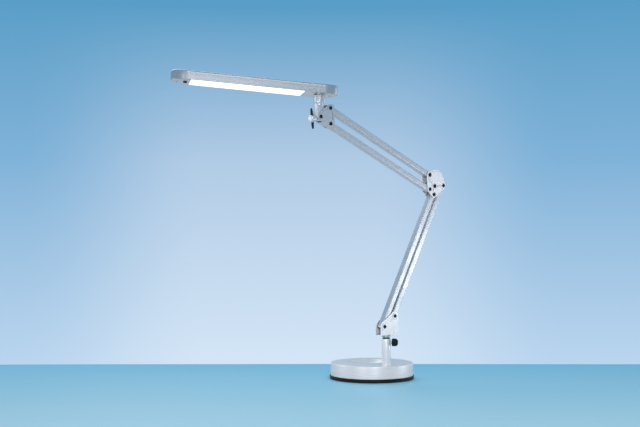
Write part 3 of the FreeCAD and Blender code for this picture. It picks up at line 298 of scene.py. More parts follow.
def brushed_cover(name, colours):
    """Metal brushed on a lathe: hair lines that follow the circle on top and run level on the side."""
    metal = Shader(name, colours.brushed, 0.25, 0.36)
    x, y, z = added(metal.tree, "SeparateXYZ", ((0, metal.coordinates),)).outputs
    squares = metal.calculated("ADD", metal.calculated("MULTIPLY", x, x), metal.calculated("MULTIPLY", y, y))
    turn = metal.calculated("MULTIPLY", metal.calculated("ARCTAN2", y, x), 0.0012)
    line = added(metal.tree, "CombineXYZ", (("X", metal.calculated("SQRT", squares)), ("Y", z), ("Z", turn)))
    hair = metal.noise(line.outputs["Vector"], 2300, 4, 0.6)
    broad = metal.noise(line.outputs["Vector"], 420, 2, 0.5)
    metal.coloured(metal.ranged(hair, 0, 1, 0.3, 0.7), shade(colours.brushed, 0.86), shade(colours.brushed, 1.14))
    metal.rough(broad, 0.27, 0.42)
    metal.bumped(hair, 0.25, 0.00012)
    return metal.material


def brushed_post(name, colours):
    """Metal brushed lengthwise: fine lines that run up the post."""
    metal = Shader(name, colours.brushed, 0.35, 0.28)
    hair = metal.noise(metal.mapped(scale=(1, 1, 0.012)), 2600, 3, 0.6)
    metal.coloured(metal.ranged(hair, 0, 1, 0.3, 0.7), shade(colours.brushed, 0.9), shade(colours.brushed, 1.2))
    metal.rough(hair, 0.2, 0.36)
    metal.bumped(hair, 0.2, 0.0001)
    return metal.material


def polished_metal(name, colours):
    """Bright turned metal, in patches a little duller by handling."""
    metal = Shader(name, colours.polished, 0.55, 0.36)
    metal.rough(metal.noise(metal.mapped(), 60, 3), 0.32, 0.4)
    return metal.material


def zinc_plate(name, colours):
    """Zinc-plated steel: cloudy bright grey with a faint warm tint."""
    metal = Shader(name, (0.5, 0.5, 0.48), 0.9, 0.35)
    clouds = metal.noise(metal.mapped(), 320, 4, 0.6)
    metal.coloured(clouds, (0.42, 0.42, 0.43), (0.58, 0.57, 0.52))
    metal.rough(clouds, 0.26, 0.45)
    return metal.material


def black_oxide(name, colours):
    """Blackened screws: dark, a little greasy, worn paler in specks."""
    metal = Shader(name, (0.02, 0.02, 0.022), 0.7, 0.36)
    specks = metal.noise(metal.mapped(), 1500, 3, 0.6)
    metal.coloured(metal.ranged(specks, 0, 1, 0.55, 0.75), (0.014, 0.014, 0.016), (0.06, 0.06, 0.065))
    metal.rough(specks, 0.28, 0.46)
    return metal.material


def black_plastic(name, colours):
    """Moulded black plastic with a fine spark-eroded texture."""
    plastic = Shader(name, colours.black, 0.0, 0.42, Specular_IOR_Level=0.2)
    grain = plastic.noise(plastic.mapped(), 1800, 3, 0.6)
    plastic.coloured(plastic.noise(plastic.mapped(), 50, 2), colours.black, shade(colours.black, 1.8))
    plastic.rough(grain, 0.34, 0.5)
    plastic.bumped(grain, 0.3, 0.0002)
    return plastic.material


def dark_nylon(name, colours):
    """Glass-filled nylon: dark green-grey, slightly mottled."""
    plastic = Shader(name, (0.03, 0.04, 0.042), 0.0, 0.45)
    mottle = plastic.noise(plastic.mapped(), 700, 4, 0.6)
    plastic.coloured(mottle, (0.022, 0.03, 0.032), (0.05, 0.062, 0.062))
    plastic.bumped(mottle, 0.2, 0.0001)
    return plastic.material


def white_nylon(name, colours):
    """Natural nylon bushes: milky, softly see-through at their edges."""
    plastic = Shader(name, (0.8, 0.79, 0.74), 0.0, 0.4, Subsurface_Weight=0.2, Subsurface_Scale=0.002)
    plastic.coloured(plastic.noise(plastic.mapped(), 400, 3), (0.76, 0.75, 0.70), (0.86, 0.85, 0.8))
    return plastic.material


def pad_rubber(name, colours):
    """Dull rubber sheet with a pebbled face."""
    rubber = Shader(name, (0.02, 0.02, 0.021), 0.0, 0.8)
    pebbles = rubber.noise(rubber.mapped(), 1100, 2)
    rubber.coloured(rubber.noise(rubber.mapped(), 30, 3), (0.016, 0.016, 0.017), (0.034, 0.034, 0.035))
    rubber.bumped(pebbles, 0.5, 0.0004)
    return rubber.material


def cast_iron(name, colours):
    """Sand-cast iron: dark, coarse and blotched."""
    iron = Shader(name, (0.07, 0.07, 0.072), 0.6, 0.7)
    sand = iron.noise(iron.mapped(), 420, 5, 0.65)
    iron.coloured(sand, (0.045, 0.045, 0.047), (0.11, 0.105, 0.1))
    iron.bumped(sand, 0.7, 0.0006)
    return iron.material


def lit_diffuser(name, colours):
    """Opal sheet over a lit panel: white, softly mottled by its prisms."""
    opal = Shader(
        name, (0.92, 0.93, 0.94), 0.0, 0.35, Emission_Color=(1, 1, 1, 1), Emission_Strength=colours.glow,
        Transmission_Weight=0.0)
    cells = added(opal.tree, "TexVoronoi", (("Scale", 700), ("Vector", opal.mapped()))).outputs["Distance"]
    opal.coloured(opal.ranged(cells, 0, 1, 0.2, 0.8), (0.9, 0.91, 0.93), (0.97, 0.97, 0.98))
    opal.bumped(cells, 0.15, 0.0003)
    return opal.material


def white_enamel(name, colours):
    """White enamel inside the head."""
    enamel = Shader(name, (0.86, 0.86, 0.86), 0.0, 0.3)
    enamel.coloured(enamel.noise(enamel.mapped(), 200, 3), (0.82, 0.82, 0.82), (0.9, 0.9, 0.9))
    return enamel.material


def solder_mask(name, colours):
    """White solder mask with a faint weave of the board beneath."""
    mask = Shader(name, (0.8, 0.82, 0.8), 0.0, 0.35)
    mask.coloured(mask.noise(mask.mapped(scale=(1, 6, 1)), 900, 2), (0.76, 0.79, 0.76), (0.86, 0.87, 0.85))
    return mask.material


def chip_phosphor(name, colours):
    """Yellow phosphor domes."""
    phosphor = Shader(name, (0.9, 0.72, 0.12), 0.0, 0.25, Emission_Color=(1, 0.9, 0.6, 1), Emission_Strength=0.6)
    phosphor.coloured(phosphor.noise(phosphor.mapped(), 1500, 2), (0.86, 0.66, 0.1), (0.95, 0.8, 0.2))
    return phosphor.material


def spring_steel(name, colours):
    """Drawn spring wire: dark bright steel with lines along the wire."""
    steel = Shader(name, (0.3, 0.3, 0.31), 1.0, 0.3)
    drawn = steel.noise(steel.mapped(), 1800, 3)
    steel.coloured(drawn, (0.22, 0.22, 0.24), (0.4, 0.4, 0.41))
    steel.rough(drawn, 0.22, 0.42)
    return steel.material


FINISHES = {
    "silver_paint": silver_paint,
    "head_silver": silver_paint,
    "plate_silver": plate_paint,
    "brushed_cover": brushed_cover,
    "brushed_post": brushed_post,
    "polished_steel": polished_metal,
    "dark_steel": black_oxide,
    "plain_steel": zinc_plate,
    "cast_weight": cast_iron,
    "black_plastic": black_plastic,
    "bush_nylon": dark_nylon,
    "white_nylon": white_nylon,
    "pad_rubber": pad_rubber,
    "diffuser_white": lit_diffuser,
    "reflector_white": white_enamel,
    "board_green": solder_mask,
    "chip_yellow": chip_phosphor,
    "spring_steel": spring_steel,
}


def finish_for(slot):
    """The material of a record slot, made the first time that it is asked for."""
    name = "finish_" + slot
    if name not in bpy.data.materials:
        FINISHES[slot](name, bpy.context.scene.lamp_colours)
    return bpy.data.materials[name]


# ---- surfaces worked out with numpy --------------------------------------------------------------
def grid_faces(rows, columns, first):
    """Four corner numbers for each cell of a grid whose columns close on themselves."""
    row, column = np.meshgrid(np.arange(rows - 1), np.arange(columns), indexing="ij")
    ahead = (column + 1) % columns
    here, above = row * columns, (row + 1) * columns
    corners = np.stack([here + column, here + ahead, above + ahead, above + column], -1)
    return corners.reshape(-1, 4) + first


def woven(name, grids):
    """A mesh from closed grids of points, rows by columns by 3: rows that shrink to a point are merged."""
    points, faces, first = [], [], 0
    for grid in grids:
        rows, columns = grid.shape[:2]
        points.append(grid.reshape(-1, 3))
        faces.append(grid_faces(rows, columns, first))
        first += rows * columns
    mesh = bpy.data.meshes.new(name)
    mesh.from_pydata(np.concatenate(points).tolist(), [], np.concatenate(faces).tolist())
    shell = bmesh.new()
    shell.from_mesh(mesh)
    bmesh.ops.remove_doubles(shell, verts=shell.verts, dist=1e-6)
    bmesh.ops.dissolve_degenerate(shell, edges=shell.edges, dist=1e-7)
    bmesh.ops.recalc_face_normals(shell, faces=shell.faces)
    shell.to_mesh(mesh)
    shell.free()
    return mesh


def surface(name, grids, body, slot, nodes=(), sharp=40.0):
    """One piece from closed grids that each end in a pole. Edges that bend by more than the sharp angle stay crisp."""
    return placed(name, woven(name, grids), body, slot, nodes, sharp)


def placed(name, mesh, body, slot, nodes, sharp):
    mesh.shade_smooth()
    mesh.set_sharp_from_angle(angle=math.radians(sharp))
    piece = bpy.data.objects.new(name, mesh)
    bpy.context.scene.collection.objects.link(piece)
    mesh.materials.clear()
    mesh.materials.append(finish_for(slot))
    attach(piece, body)
    if nodes:
        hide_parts(*nodes)
    return piece


def softened(corners, radius, steps=5):
    """A polyline with each inner corner rounded: a quadratic curve from one cut point to the other.

    The cut is the radius, or 45 percent of the shorter neighbouring run where that is less.
    """
    corners = np.asarray(corners, float)
    before, corner, after = corners[:-2], corners[1:-1], corners[2:]
    runs_back = np.linalg.norm(before - corner, axis=1, keepdims=True)
    runs_on = np.linalg.norm(after - corner, axis=1, keepdims=True)
    asked = np.broadcast_to(np.reshape(radius, (-1, 1)), runs_back.shape)
    cut = np.minimum(asked, 0.45 * np.minimum(runs_back, runs_on))
    start = corner + (before - corner) / runs_back * cut
    end = corner + (after - corner) / runs_on * cut
    t = np.linspace(0, 1, steps)[None, :, None]
    curve = (1 - t) ** 2 * start[:, None] + 2 * t * (1 - t) * corner[:, None] + t ** 2 * end[:, None]
    return np.concatenate([corners[:1], curve.reshape(-1, corners.shape[1]), corners[-1:]])


def turned(profile, place, axis, columns=96):
    """A surface of revolution: each (distance, radius) pair swept round the axis through place."""
    axis = np.asarray(axis, float) / np.linalg.norm(axis)
    side = np.cross(axis, (0.0, 0.0, 1.0)) if abs(axis[2]) < 0.9 else np.array([1.0, 0.0, 0.0])
    side = side / np.linalg.norm(side)
    other = np.cross(axis, side)
    turn = np.linspace(0, 2 * math.pi, columns, endpoint=False)
    ring = np.cos(turn)[:, None] * side + np.sin(turn)[:, None] * other
    profile = np.asarray(profile, float)
    return np.asarray(place) + profile[:, None, :1] * axis + profile[:, None, 1:] * ring[None]


def ring_of(half_length, half_width, corner, steps):
    """A rounded rectangle as points: a quarter circle at each corner, joined by straight runs."""
    corner = np.maximum(corner, 1e-6)
    quarter = np.linspace(0, math.pi / 2, steps)
    turn = np.concatenate([quarter + k * math.pi / 2 for k in range(4)])
    sign_x = np.repeat([1, -1, -1, 1], steps)
    sign_y = np.repeat([1, 1, -1, -1], steps)
    x = sign_x * (half_length - corner) + corner * np.cos(turn)
    y = sign_y * (half_width - corner) + corner * np.sin(turn)
    return np.stack([x, y], -1)


def slab_rows(half_length, half_width, corner, rows, steps=12):
    """Nested rounded rectangles: each row gives how far it is drawn in and its height."""
    return np.array([
        np.concatenate([
            ring_of(half_length - inset, half_width - inset, corner - inset, steps),
            np.full((4 * steps, 1), height)], 1)
        for inset, height in rows])


def tube(path, radius, reference, columns=8):
    """A round wire along a path: each ring is square to the path's run, set by one reference direction."""
    path = np.asarray(path, float)
    run = np.gradient(path, axis=0)
    run /= np.linalg.norm(run, axis=1, keepdims=True)
    first = np.cross(run, reference)
    first /= np.linalg.norm(first, axis=1, keepdims=True)
    second = np.cross(run, first)
    turn = np.linspace(0, 2 * math.pi, columns, endpoint=False)
    rings = path[:, None] + radius * (np.cos(turn)[:, None] * first[:, None] + np.sin(turn)[:, None] * second[:, None])
    start = np.broadcast_to(path[:1, None], (1, columns, 3))
    end = np.broadcast_to(path[-1:, None], (1, columns, 3))
    return np.concatenate([start, rings, end])


def finished(node, bevel=0.0, sharp=35.0, finish=None):
    """A clean copy of a CAD node: joined triangles, flat faces made whole, and a small bevel on hard edges."""
    source = frame["nodes"][node]
    mesh = source.data.copy()
    mesh.name = node + "_finished"
    shell = bmesh.new()
    shell.from_mesh(mesh)
    bmesh.ops.remove_doubles(shell, verts=shell.verts, dist=1e-6)
    bmesh.ops.dissolve_limit(shell, angle_limit=math.radians(0.3), verts=shell.verts, edges=shell.edges)
    shell.to_mesh(mesh)
    shell.free()
    piece = placed(node + "_finished", mesh, source["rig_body"], SLOTS[node], (node,), sharp)
    if finish:
        mesh.materials[0] = finish_for(finish)
    if bevel:
        edge = piece.modifiers.new("edges", "BEVEL")
        edge.width = bevel
        edge.segments = 2
        edge.limit_method = "ANGLE"
        edge.angle_limit = math.radians(sharp)
        edge.harden_normals = True
    return piece


def coloured_node(node):
    """Gives a CAD node that stays as it is the finish of its slot."""
    mesh = frame["nodes"][node].data
    mesh.materials.clear()
    mesh.materials.append(finish_for(SLOTS[node]))


# ---- the pieces ------------------------------------------------------------------------------------
class LampPiece:
    bl_options = {"REGISTER", "UNDO"}

    def execute(self, context):
        self.make(context.scene.lamp_sizes, context.scene.lamp_colours)
        return {"FINISHED"}


HORIZON_RISE, TOP_RISE = -0.105, 0.2      # the backdrop's lowest and highest directions
MIDDLE_STOP = 0.56                        # share of that rise
VIEW_RIGHT = (0.7565, -0.6546, 0.0)       # across the view, from the glow's middle
GLOW_WIDTHS = (0.07, 0.235)               # where the glow starts to fade and where it ends
TABLE_RADIUS, TABLE_BEYOND = 30.0, 0.30   # metres; its far edge lies this far past the base's centre
TABLE_FADE = 1.1                          # metres in from its edge, over which its colour changes
VIEW_AWAY = (0.6742, 0.7386)              # the photo's view, level
FLOOR_LIGHTS = ("key", "fill", "back")    # the others leave no pool on the floor


def seen_ray(tree):
    """1 for rays by which the backdrop or floor is seen, straight or in a reflection, and 0 for soft light."""
    path = added(tree, "LightPath")
    total = path.outputs["Is Camera Ray"]
    for ray in ("Is Glossy Ray", "Is Transmission Ray"):
        total = added(tree, "Math", ((0, total), (1, path.outputs[ray])), operation="MAXIMUM").outputs["Value"]
    return total


class LAMP_OT_stage(LampPiece, bpy.types.Operator):
    """Adds the floor, the backdrop, the studio lights and the camera"""
    bl_idname = "lamp.stage"
    bl_label = "Stage"

    def make(self, sizes, colours):
        scene = bpy.context.scene
        scene.view_settings.view_transform = "Standard"
        self.floor(colours)
        self.world(colours)
        off_floor = bpy.data.collections.new("off_floor")
        off_floor.objects.link(bpy.data.objects["floor"])
        off_floor.collection_objects[0].light_linking.link_state = "EXCLUDE"
        for name, place, aim, width, height, power in (
                ("key", (-0.9, -1.5, 2.1), (0, 0, 0.3), 1.4, 1.4, 14),
                ("side", (1.25, -1.15, 0.2), (0.0, -0.07, 0.18), 1.0, 0.36, 3.6),
                ("rim", (1.9, -0.1, 0.6), (-0.1, -0.07, 0.4), 0.5, 0.9, 3),
                ("left", (-1.3, 1.2, 0.45), (0.0, 0.0, 0.35), 0.9, 0.7, 4),
                ("low", (-2.3, -0.9, 0.6), (-0.2, -0.07, 0.5), 0.7, 0.7, 9),
                ("fill", (-1.6, -2.2, 0.7), (0, 0, 0.0), 1.2, 1.2, 11),
                ("back", (0.5, 1.9, 2.1), (-0.1, 0, 0.4), 2.0, 2.0, 17)):
            light = bpy.data.lights.new(name, "AREA")
            light.shape = "ELLIPSE"
            light.size = width
            light.size_y = height
            light.energy = power
            lamp = bpy.data.objects.new(name, light)
            lamp.location = place
            lamp.rotation_euler = (Vector(aim) - Vector(place)).to_track_quat("-Z", "Y").to_euler()
            scene.collection.objects.link(lamp)
            if name not in FLOOR_LIGHTS:
                lamp.light_linking.receiver_collection = off_floor
        camera = bpy.data.cameras.new("camera")
        camera.sensor_width = 36.0
        camera.lens = 63.56
        camera.clip_start = 0.05
        camera.clip_end = 60.0
        eye = bpy.data.objects.new("camera", camera)
        eye.location = (-1.8922, -1.8917, 0.3324)
        eye.rotation_euler = Vector((*VIEW_AWAY, 0.0210)).to_track_quat("-Z", "Y").to_euler()
        scene.collection.objects.link(eye)
        scene.camera = eye

    def floor(self, colours):
        """A very wide round table whose far edge passes a little behind the base: rings about its centre."""
        reach = TABLE_RADIUS
        away = np.array(VIEW_AWAY) / math.hypot(*VIEW_AWAY)
        middle = away * (TABLE_BEYOND - reach)
        radius = np.array([0.0, 10.0, 20.0, 26.0, 29.0, reach])
        turn = np.linspace(0, 2 * math.pi, 256, endpoint=False) + math.atan2(away[1], away[0])
        across = radius[:, None] * np.cos(turn), radius[:, None] * np.sin(turn)
        points = np.stack([middle[0] + across[0], middle[1] + across[1], np.zeros((6, 256))], -1)
        mesh = woven("floor", [points])
        floor = bpy.data.objects.new("floor", mesh)
        bpy.context.scene.collection.objects.link(floor)
        finish = Shader("floor", colours.floor, 0.0, 0.4, Specular_IOR_Level=0.12)
        from_middle = finish.mapped(location=(-middle[0], -middle[1], 0))
        length = added(finish.tree, "VectorMath", ((0, from_middle),), operation="LENGTH").outputs["Value"]
        tint = finish.mixed(
            finish.ranged(length, 0, 1, reach - TABLE_FADE, reach), colours.floor, colours.floor_far)
        seen = finish.mixed(seen_ray(finish.tree), colours.floor_bounce, colours.floor)
        finish.join(tint, seen.node.inputs["B"])
        finish.join(seen, finish.body.inputs["Base Color"])
        mesh.materials.append(finish.material)

    def world(self, colours):
        """Neutral soft light for surfaces. The backdrop deepens upwards, with a glow down its middle."""
        world = bpy.data.worlds.new("studio")
        bpy.context.scene.world = world
        world.use_nodes = True
        tree = world.node_tree
        plain = tree.nodes["Background"]
        plain.inputs["Color"].default_value = (0.93, 0.96, 1.0, 1)
        plain.inputs["Strength"].default_value = 0.4
        direction = added(tree, "TexCoord").outputs["Generated"]
        rise = added(tree, "SeparateXYZ", ((0, direction),)).outputs["Z"]
        height = added(tree, "MapRange", span(rise, HORIZON_RISE, TOP_RISE, 0.0, 1.0)).outputs["Result"]
        aside = added(tree, "VectorMath", ((0, direction), (1, VIEW_RIGHT)), operation="DOT_PRODUCT").outputs["Value"]
        away = added(tree, "Math", ((0, aside),), operation="ABSOLUTE").outputs["Value"]
        bell = added(tree, "MapRange", span(away, *GLOW_WIDTHS, 1.0, 0.0), interpolation_type="SMOOTHSTEP")
        glow = added(tree, "Mix", (("Factor", bell.outputs["Result"]),), data_type="RGBA")
        for socket, low, middle in (
                ("A", (0.75, 0.85, 0.93), (0.22, 0.45, 0.69)),
                ("B", (1, 1, 1), (0.44, 0.60, 0.79))):
            ramp = added(tree, "ValToRGB", (("Fac", height),))
            stops = ramp.color_ramp.elements
            stops[0].color = (*(a * b for a, b in zip(colours.horizon, low)), 1)
            stops[1].color = (*colours.backdrop, 1)
            stops.new(MIDDLE_STOP).color = (*middle, 1)
            tree.links.new(ramp.outputs["Color"], glow.inputs[socket])
        seen = added(tree, "Background", (("Color", glow.outputs["Result"]),))
        shown = (("Fac", seen_ray(tree)), (1, plain.outputs["Background"]), (2, seen.outputs["Background"]))
        mix = added(tree, "MixShader", shown)
        tree.links.new(mix.outputs["Shader"], tree.nodes["World Output"].inputs["Surface"])


class LAMP_OT_base(LampPiece, bpy.types.Operator):
    """Makes the round base: cover with its dish, pan and pad"""
    bl_idname = "lamp.base"
    bl_label = "Base"

    def make(self, sizes, colours):
        self.cover(sizes)
        self.pan()
        self.pad()
        for node in ("base_weight", "post_nut"):
            coloured_node(node)
        finished("cord_gland", 0.0004)
        finished("pan_screws", 0.0002)

    def cover(self, sizes):
        """A polar grid about the dish's centre.

        The inner rings follow the dish's profile, floor, slope and rim. The outer rings run from the dish's
        rim to the cover's edge circle, on the same rays, and from there round the edge, down the side and
        back up inside, on the cover's own radius.
        """
        low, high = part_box("base_cover")
        outer = (high.x - low.x) / 2
        top, foot = high.z, low.z
        wall = 1.5 * MM
        dish = np.array([8.38, 24.61]) * MM
        depth, dish_rim = 8 * MM, 53 * MM
        columns = 192
        turn = np.linspace(0, 2 * math.pi, columns, endpoint=False)
        ray = np.stack([np.cos(turn), np.sin(turn)], -1)
        corners = [(0, top - depth), (40 * MM, top - depth), (49 * MM, top), (dish_rim, top)]
        profile = softened(corners, sizes.dish_softness, 9)
        rings = dish + profile[:, :1, None].transpose(0, 2, 1) * ray[None]
        heights = np.broadcast_to(profile[:, 1][:, None, None], (len(profile), columns, 1))
        dish_part = np.concatenate([rings, heights], -1)
        edge = sizes.cover_edge
        flat = outer - edge
        along = ray @ dish
        reach = -along + np.sqrt(along ** 2 + flat ** 2 - dish @ dish)
        rim = dish + reach[:, None] * ray
        share = np.linspace(0.25, 1.0, 4)
        start = dish + dish_rim * ray
        flat_rows = start[None] + share[:, None, None] * (rim - start)[None]
        flat_part = np.concatenate([flat_rows, np.full((4, columns, 1), top)], -1)
        outward = rim / np.linalg.norm(rim, axis=1, keepdims=True)
        bend = np.linspace(0, math.pi / 2, 8)[1:]
        side = [(flat + edge * math.sin(b), top - edge + edge * math.cos(b)) for b in bend]
        side += [(outer, foot + 0.3 * MM), (outer - 0.3 * MM, foot), (outer - wall, foot), (outer - wall, top - wall)]
        side_part = np.array([np.concatenate([radius * outward, np.full((columns, 1), z)], 1) for radius, z in side])
        inner = [(50.5 * MM, top - wall), (41 * MM, top - depth - wall), (0, top - depth - wall)]
        inner_part = np.array([np.concatenate([dish + r * ray, np.full((columns, 1), z)], 1) for r, z in inner])
        grid = np.concatenate([dish_part, flat_part, side_part, inner_part])
        surface("base_cover_shell", [grid], "base", "brushed_cover", ("base_cover",))

    def pan(self):
        """Turned tray: floor, rounded outer wall, step for the cover and inner lip."""
        low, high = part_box("base_pan")
        outer = (high.x - low.x) / 2
        foot, top = low.z, high.z
        step, floor = top - 2 * MM, foot + 2 * MM
        lip, lip_inside = 95.25 * MM, 93.5 * MM
        corners = [
            (foot, 0), (foot, outer), (step, outer), (step, lip), (top, lip), (top, lip_inside), (floor, lip_inside),
            (floor, 0)]
        profile = softened(corners, [0.9 * MM, 0.9 * MM, 0.2 * MM, 0.2 * MM, 0.2 * MM, 0.6 * MM], 6)
        surface("base_pan_tray", [turned(profile, (0, 0, 0), (0, 0, 1), 192)], "base", "black_plastic", ("base_pan",))

    def pad(self):
        """Turned rubber disc with shallow concentric grip ridges in its underside."""
        low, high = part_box("base_pad")
        outer = (high.x - low.x) / 2
        radii = np.linspace(0, outer - 1.5 * MM, 90)
        ridge = 0.25 * MM * (0.5 - 0.5 * np.cos(radii / outer * 2 * math.pi * 14))
        under = np.stack([low.z + ridge, radii], -1)
        rim = [(low.z, outer - 0.5 * MM), (low.z + 0.4 * MM, outer), (high.z, outer), (high.z, 0)]
        profile = np.concatenate([under, rim])
        surface("base_pad_sheet", [turned(profile, (0, 0, 0), (0, 0, 1), 128)], "base", "pad_rubber", ("base_pad",))


class LAMP_OT_post(LampPiece, bpy.types.Operator):
    """Makes the post, its bush and the swivel collar"""
    bl_idname = "lamp.post"
    bl_label = "Post"

    def make(self, sizes, colours):
        low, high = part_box("post")
        outer = (high.x - low.x) / 2
        stud, bore, bore_end = 5 * MM, 7 * MM, high.z - 41 * MM
        corners = [
            (low.z, 0), (low.z, stud), (BASE_TOP, stud), (BASE_TOP, outer), (high.z, outer), (high.z, bore),
            (bore_end, bore), (bore_end, 0)]
        profile = softened(corners, [0.6 * MM, 0.01 * MM, 0.05 * MM, sizes.post_edge, 0.2 * MM, 0.2 * MM])
        surface("post_column", [turned(profile, POST, (0, 0, 1), 96)], "base", "brushed_post", ("post",))
        finished("post_bush", 0.0003)
        finished("swivel_spigot", 0.0003)
        finished("thrust_washer", 0.0002)
        coloured_node("spigot_nut")


class LAMP_OT_clamp(LampPiece, bpy.types.Operator):
    """Makes the clamp knob and its bright screw"""
    bl_idname = "lamp.clamp"
    bl_label = "Clamp knob"

    def make(self, sizes, colours):
        """A turned dome whose radius dips in a cosine wave round the axis, most at mid height."""
        axis = joint_axis("clamp_turn")
        place = joint_place("clamp_turn")
        depth = (node_points("clamp_knob") - place) @ axis
        inner, outer = depth.min(), depth.max()
        radius = 8.85 * MM
        dome = 6.5 * MM
        bend = np.linspace(0, math.pi / 2, 14)
        wall = np.linspace(inner + 1.0 * MM, outer - dome, 8)
        profile = np.concatenate([
            [(inner, 0), (inner, radius - 1.0 * MM), (inner + 0.3 * MM, radius - 0.3 * MM)],
            np.stack([wall, np.full(8, radius)], -1),
            np.stack([outer - dome + dome * np.sin(bend), radius - dome + dome * np.cos(bend)], -1)[1:],
            [(outer, 0)]])
        columns = 24 * sizes.knob_flutes
        grid = turned(profile, place, axis, columns)
        turn = np.linspace(0, 2 * math.pi, columns, endpoint=False)
        wave = np.clip(np.cos(turn * sizes.knob_flutes), 0.2, 1.0) - 0.2
        share = np.clip((profile[:, 1] - 0.55 * radius) / (0.45 * radius), 0, 1)
        dip = 1 - sizes.flute_depth / radius / 0.8 * wave[None, :] * share[:, None]
        middle = place + profile[:, :1] * axis
        grid = middle[:, None] + (grid - middle[:, None]) * dip[..., None]
        surface("clamp_knob_dome", [grid], "clamp_knob", "black_plastic", ("clamp_knob",))
        finished("clamp_screw", 0.0004)


class LAMP_OT_foot(LampPiece, bpy.types.Operator):
    """Finishes the foot bracket and its screws"""
    bl_idname = "lamp.foot"
    bl_label = "Foot bracket"

    def make(self, sizes, colours):
        finished("foot_bracket", sizes.sheet_edge * 1.6, finish="plate_silver")
        finished("foot_pivot_screws", sizes.sheet_edge)
        finished("foot_pivot_nuts", sizes.sheet_edge)
        finished("foot_spring_pin", sizes.sheet_edge)


class LAMP_OT_arms(LampPiece, bpy.types.Operator):
    """Finishes the four bars of the arm and their bushes"""
    bl_idname = "lamp.arms"
    bl_label = "Arm bars"

    def make(self, sizes, colours):
        for arm in ("lower_front", "lower_rear", "upper_bottom", "upper_top"):
            finished(arm + "_bar", sizes.sheet_edge)
            finished(arm + "_bushes", 0.0001)
        for pin in ("lower_spring_pin", "upper_spring_pin"):
            finished(pin, 0.0001)


class LAMP_OT_springs(LampPiece, bpy.types.Operator):
    """Winds the balance springs inside the bars, and the button's spring"""
    bl_idname = "lamp.springs"
    bl_label = "Springs"

    def make(self, sizes, colours):
        self.balance(
            sizes, "lower_spring", "lower_spring_pin", "foot_spring_pin", "lower_parallel", "lower_link", 1.5 * MM)
        self.balance(sizes, "upper_spring", "upper_spring_pin", "elbow_tie", "upper_arm", "upper_bar", 3.6 * MM)
        self.button()

    def balance(self, sizes, node, pin_node, anchor_node, joint, body, anchor_radius):
        """A close helix along the bar, a straight shank to the anchor, and a ring of wire round each pin."""
        wire = sizes.spring_wire / 2
        pivot = joint_place(joint)
        pin = node_middle(pin_node)
        anchor = node_middle(anchor_node)
        anchor[1] = pivot[1]
        along = (pin - pivot) / np.linalg.norm(pin - pivot)
        across = np.array([0.0, 1.0, 0.0])
        third = np.cross(along, across)
        start = pivot + along * 70 * MM
        end = pin - along * 3.2 * MM
        length = np.linalg.norm(end - start)
        coil = 4.4 * MM - wire
        turns = int(length / (2.1 * wire))
        t = np.linspace(0, 1, turns * 14)
        swell = np.clip(np.minimum(t, 1 - t) * turns / 2, 0.25, 1.0)
        angle = 2 * math.pi * turns * t
        helix = (start + (t * length)[:, None] * along
                 + (coil * swell * np.cos(angle))[:, None] * across + (coil * swell * np.sin(angle))[:, None] * third)
        reach = anchor - start
        reach /= np.linalg.norm(reach)
        shank_end = anchor - reach * (anchor_radius + 0.5 * MM)
        shank = start + np.linspace(0, 1, 12)[:, None] * (shank_end - start)
        grids = [tube(helix, wire, along, 6), tube(shank, wire, across, 8)]
        for place, radius in ((pin, 1.5 * MM), (anchor, anchor_radius)):
            turn = np.linspace(0, 2 * math.pi * 0.97, 28)
            facing = reach if place is anchor else along
            other = np.cross(facing, across)
            size = radius + 0.3 * MM + wire
            loop = place - size * (np.cos(turn)[:, None] * facing + np.sin(turn)[:, None] * other)
            grids.append(tube(loop, wire, across, 8))
        surface(node + "_wound", grids, body, "spring_steel", (node,))

    def button(self):
        """A short open helix round the button's pin, up the stem direction."""
        low, high = head_span("button_spring")
        middle = (low + high) / 2
        wire = 0.22 * MM
        radius = (high[0] - low[0]) / 2 - wire
        t = np.linspace(0, 1, 120)
        turns = 4
        height = low[2] + wire + t * (high[2] - low[2] - 2 * wire)
        angle = 2 * math.pi * turns * t
        path = np.stack([middle[0] + radius * np.cos(angle), middle[1] + radius * np.sin(angle), height], -1)
        coil = tube(in_head(path), wire, STEM_UP, 6)
        surface("button_spring_wound", [coil], "head", "spring_steel", ("button_spring",))


class LAMP_OT_elbow(LampPiece, bpy.types.Operator):
    """Finishes the elbow's plates, screws and tie"""
    bl_idname = "lamp.elbow"
    bl_label = "Elbow"

    def make(self, sizes, colours):
        for node in ("elbow_plate_front", "elbow_plate_rear"):
            finished(node, sizes.sheet_edge, finish="plate_silver")
        for node in ("elbow_screws", "elbow_nuts", "elbow_tie"):
            finished(node, sizes.sheet_edge * 0.7)


class LAMP_OT_head_bracket(LampPiece, bpy.types.Operator):
    """Finishes the three-cornered plates at the head"""
    bl_idname = "lamp.head_bracket"
    bl_label = "Head bracket"

    def make(self, sizes, colours):
        for node in ("head_plate_front", "head_plate_rear"):
            finished(node, sizes.sheet_edge)
        for node in ("head_plate_screws", "head_plate_nuts", "nod_bush"):
            finished(node, sizes.sheet_edge * 0.7)


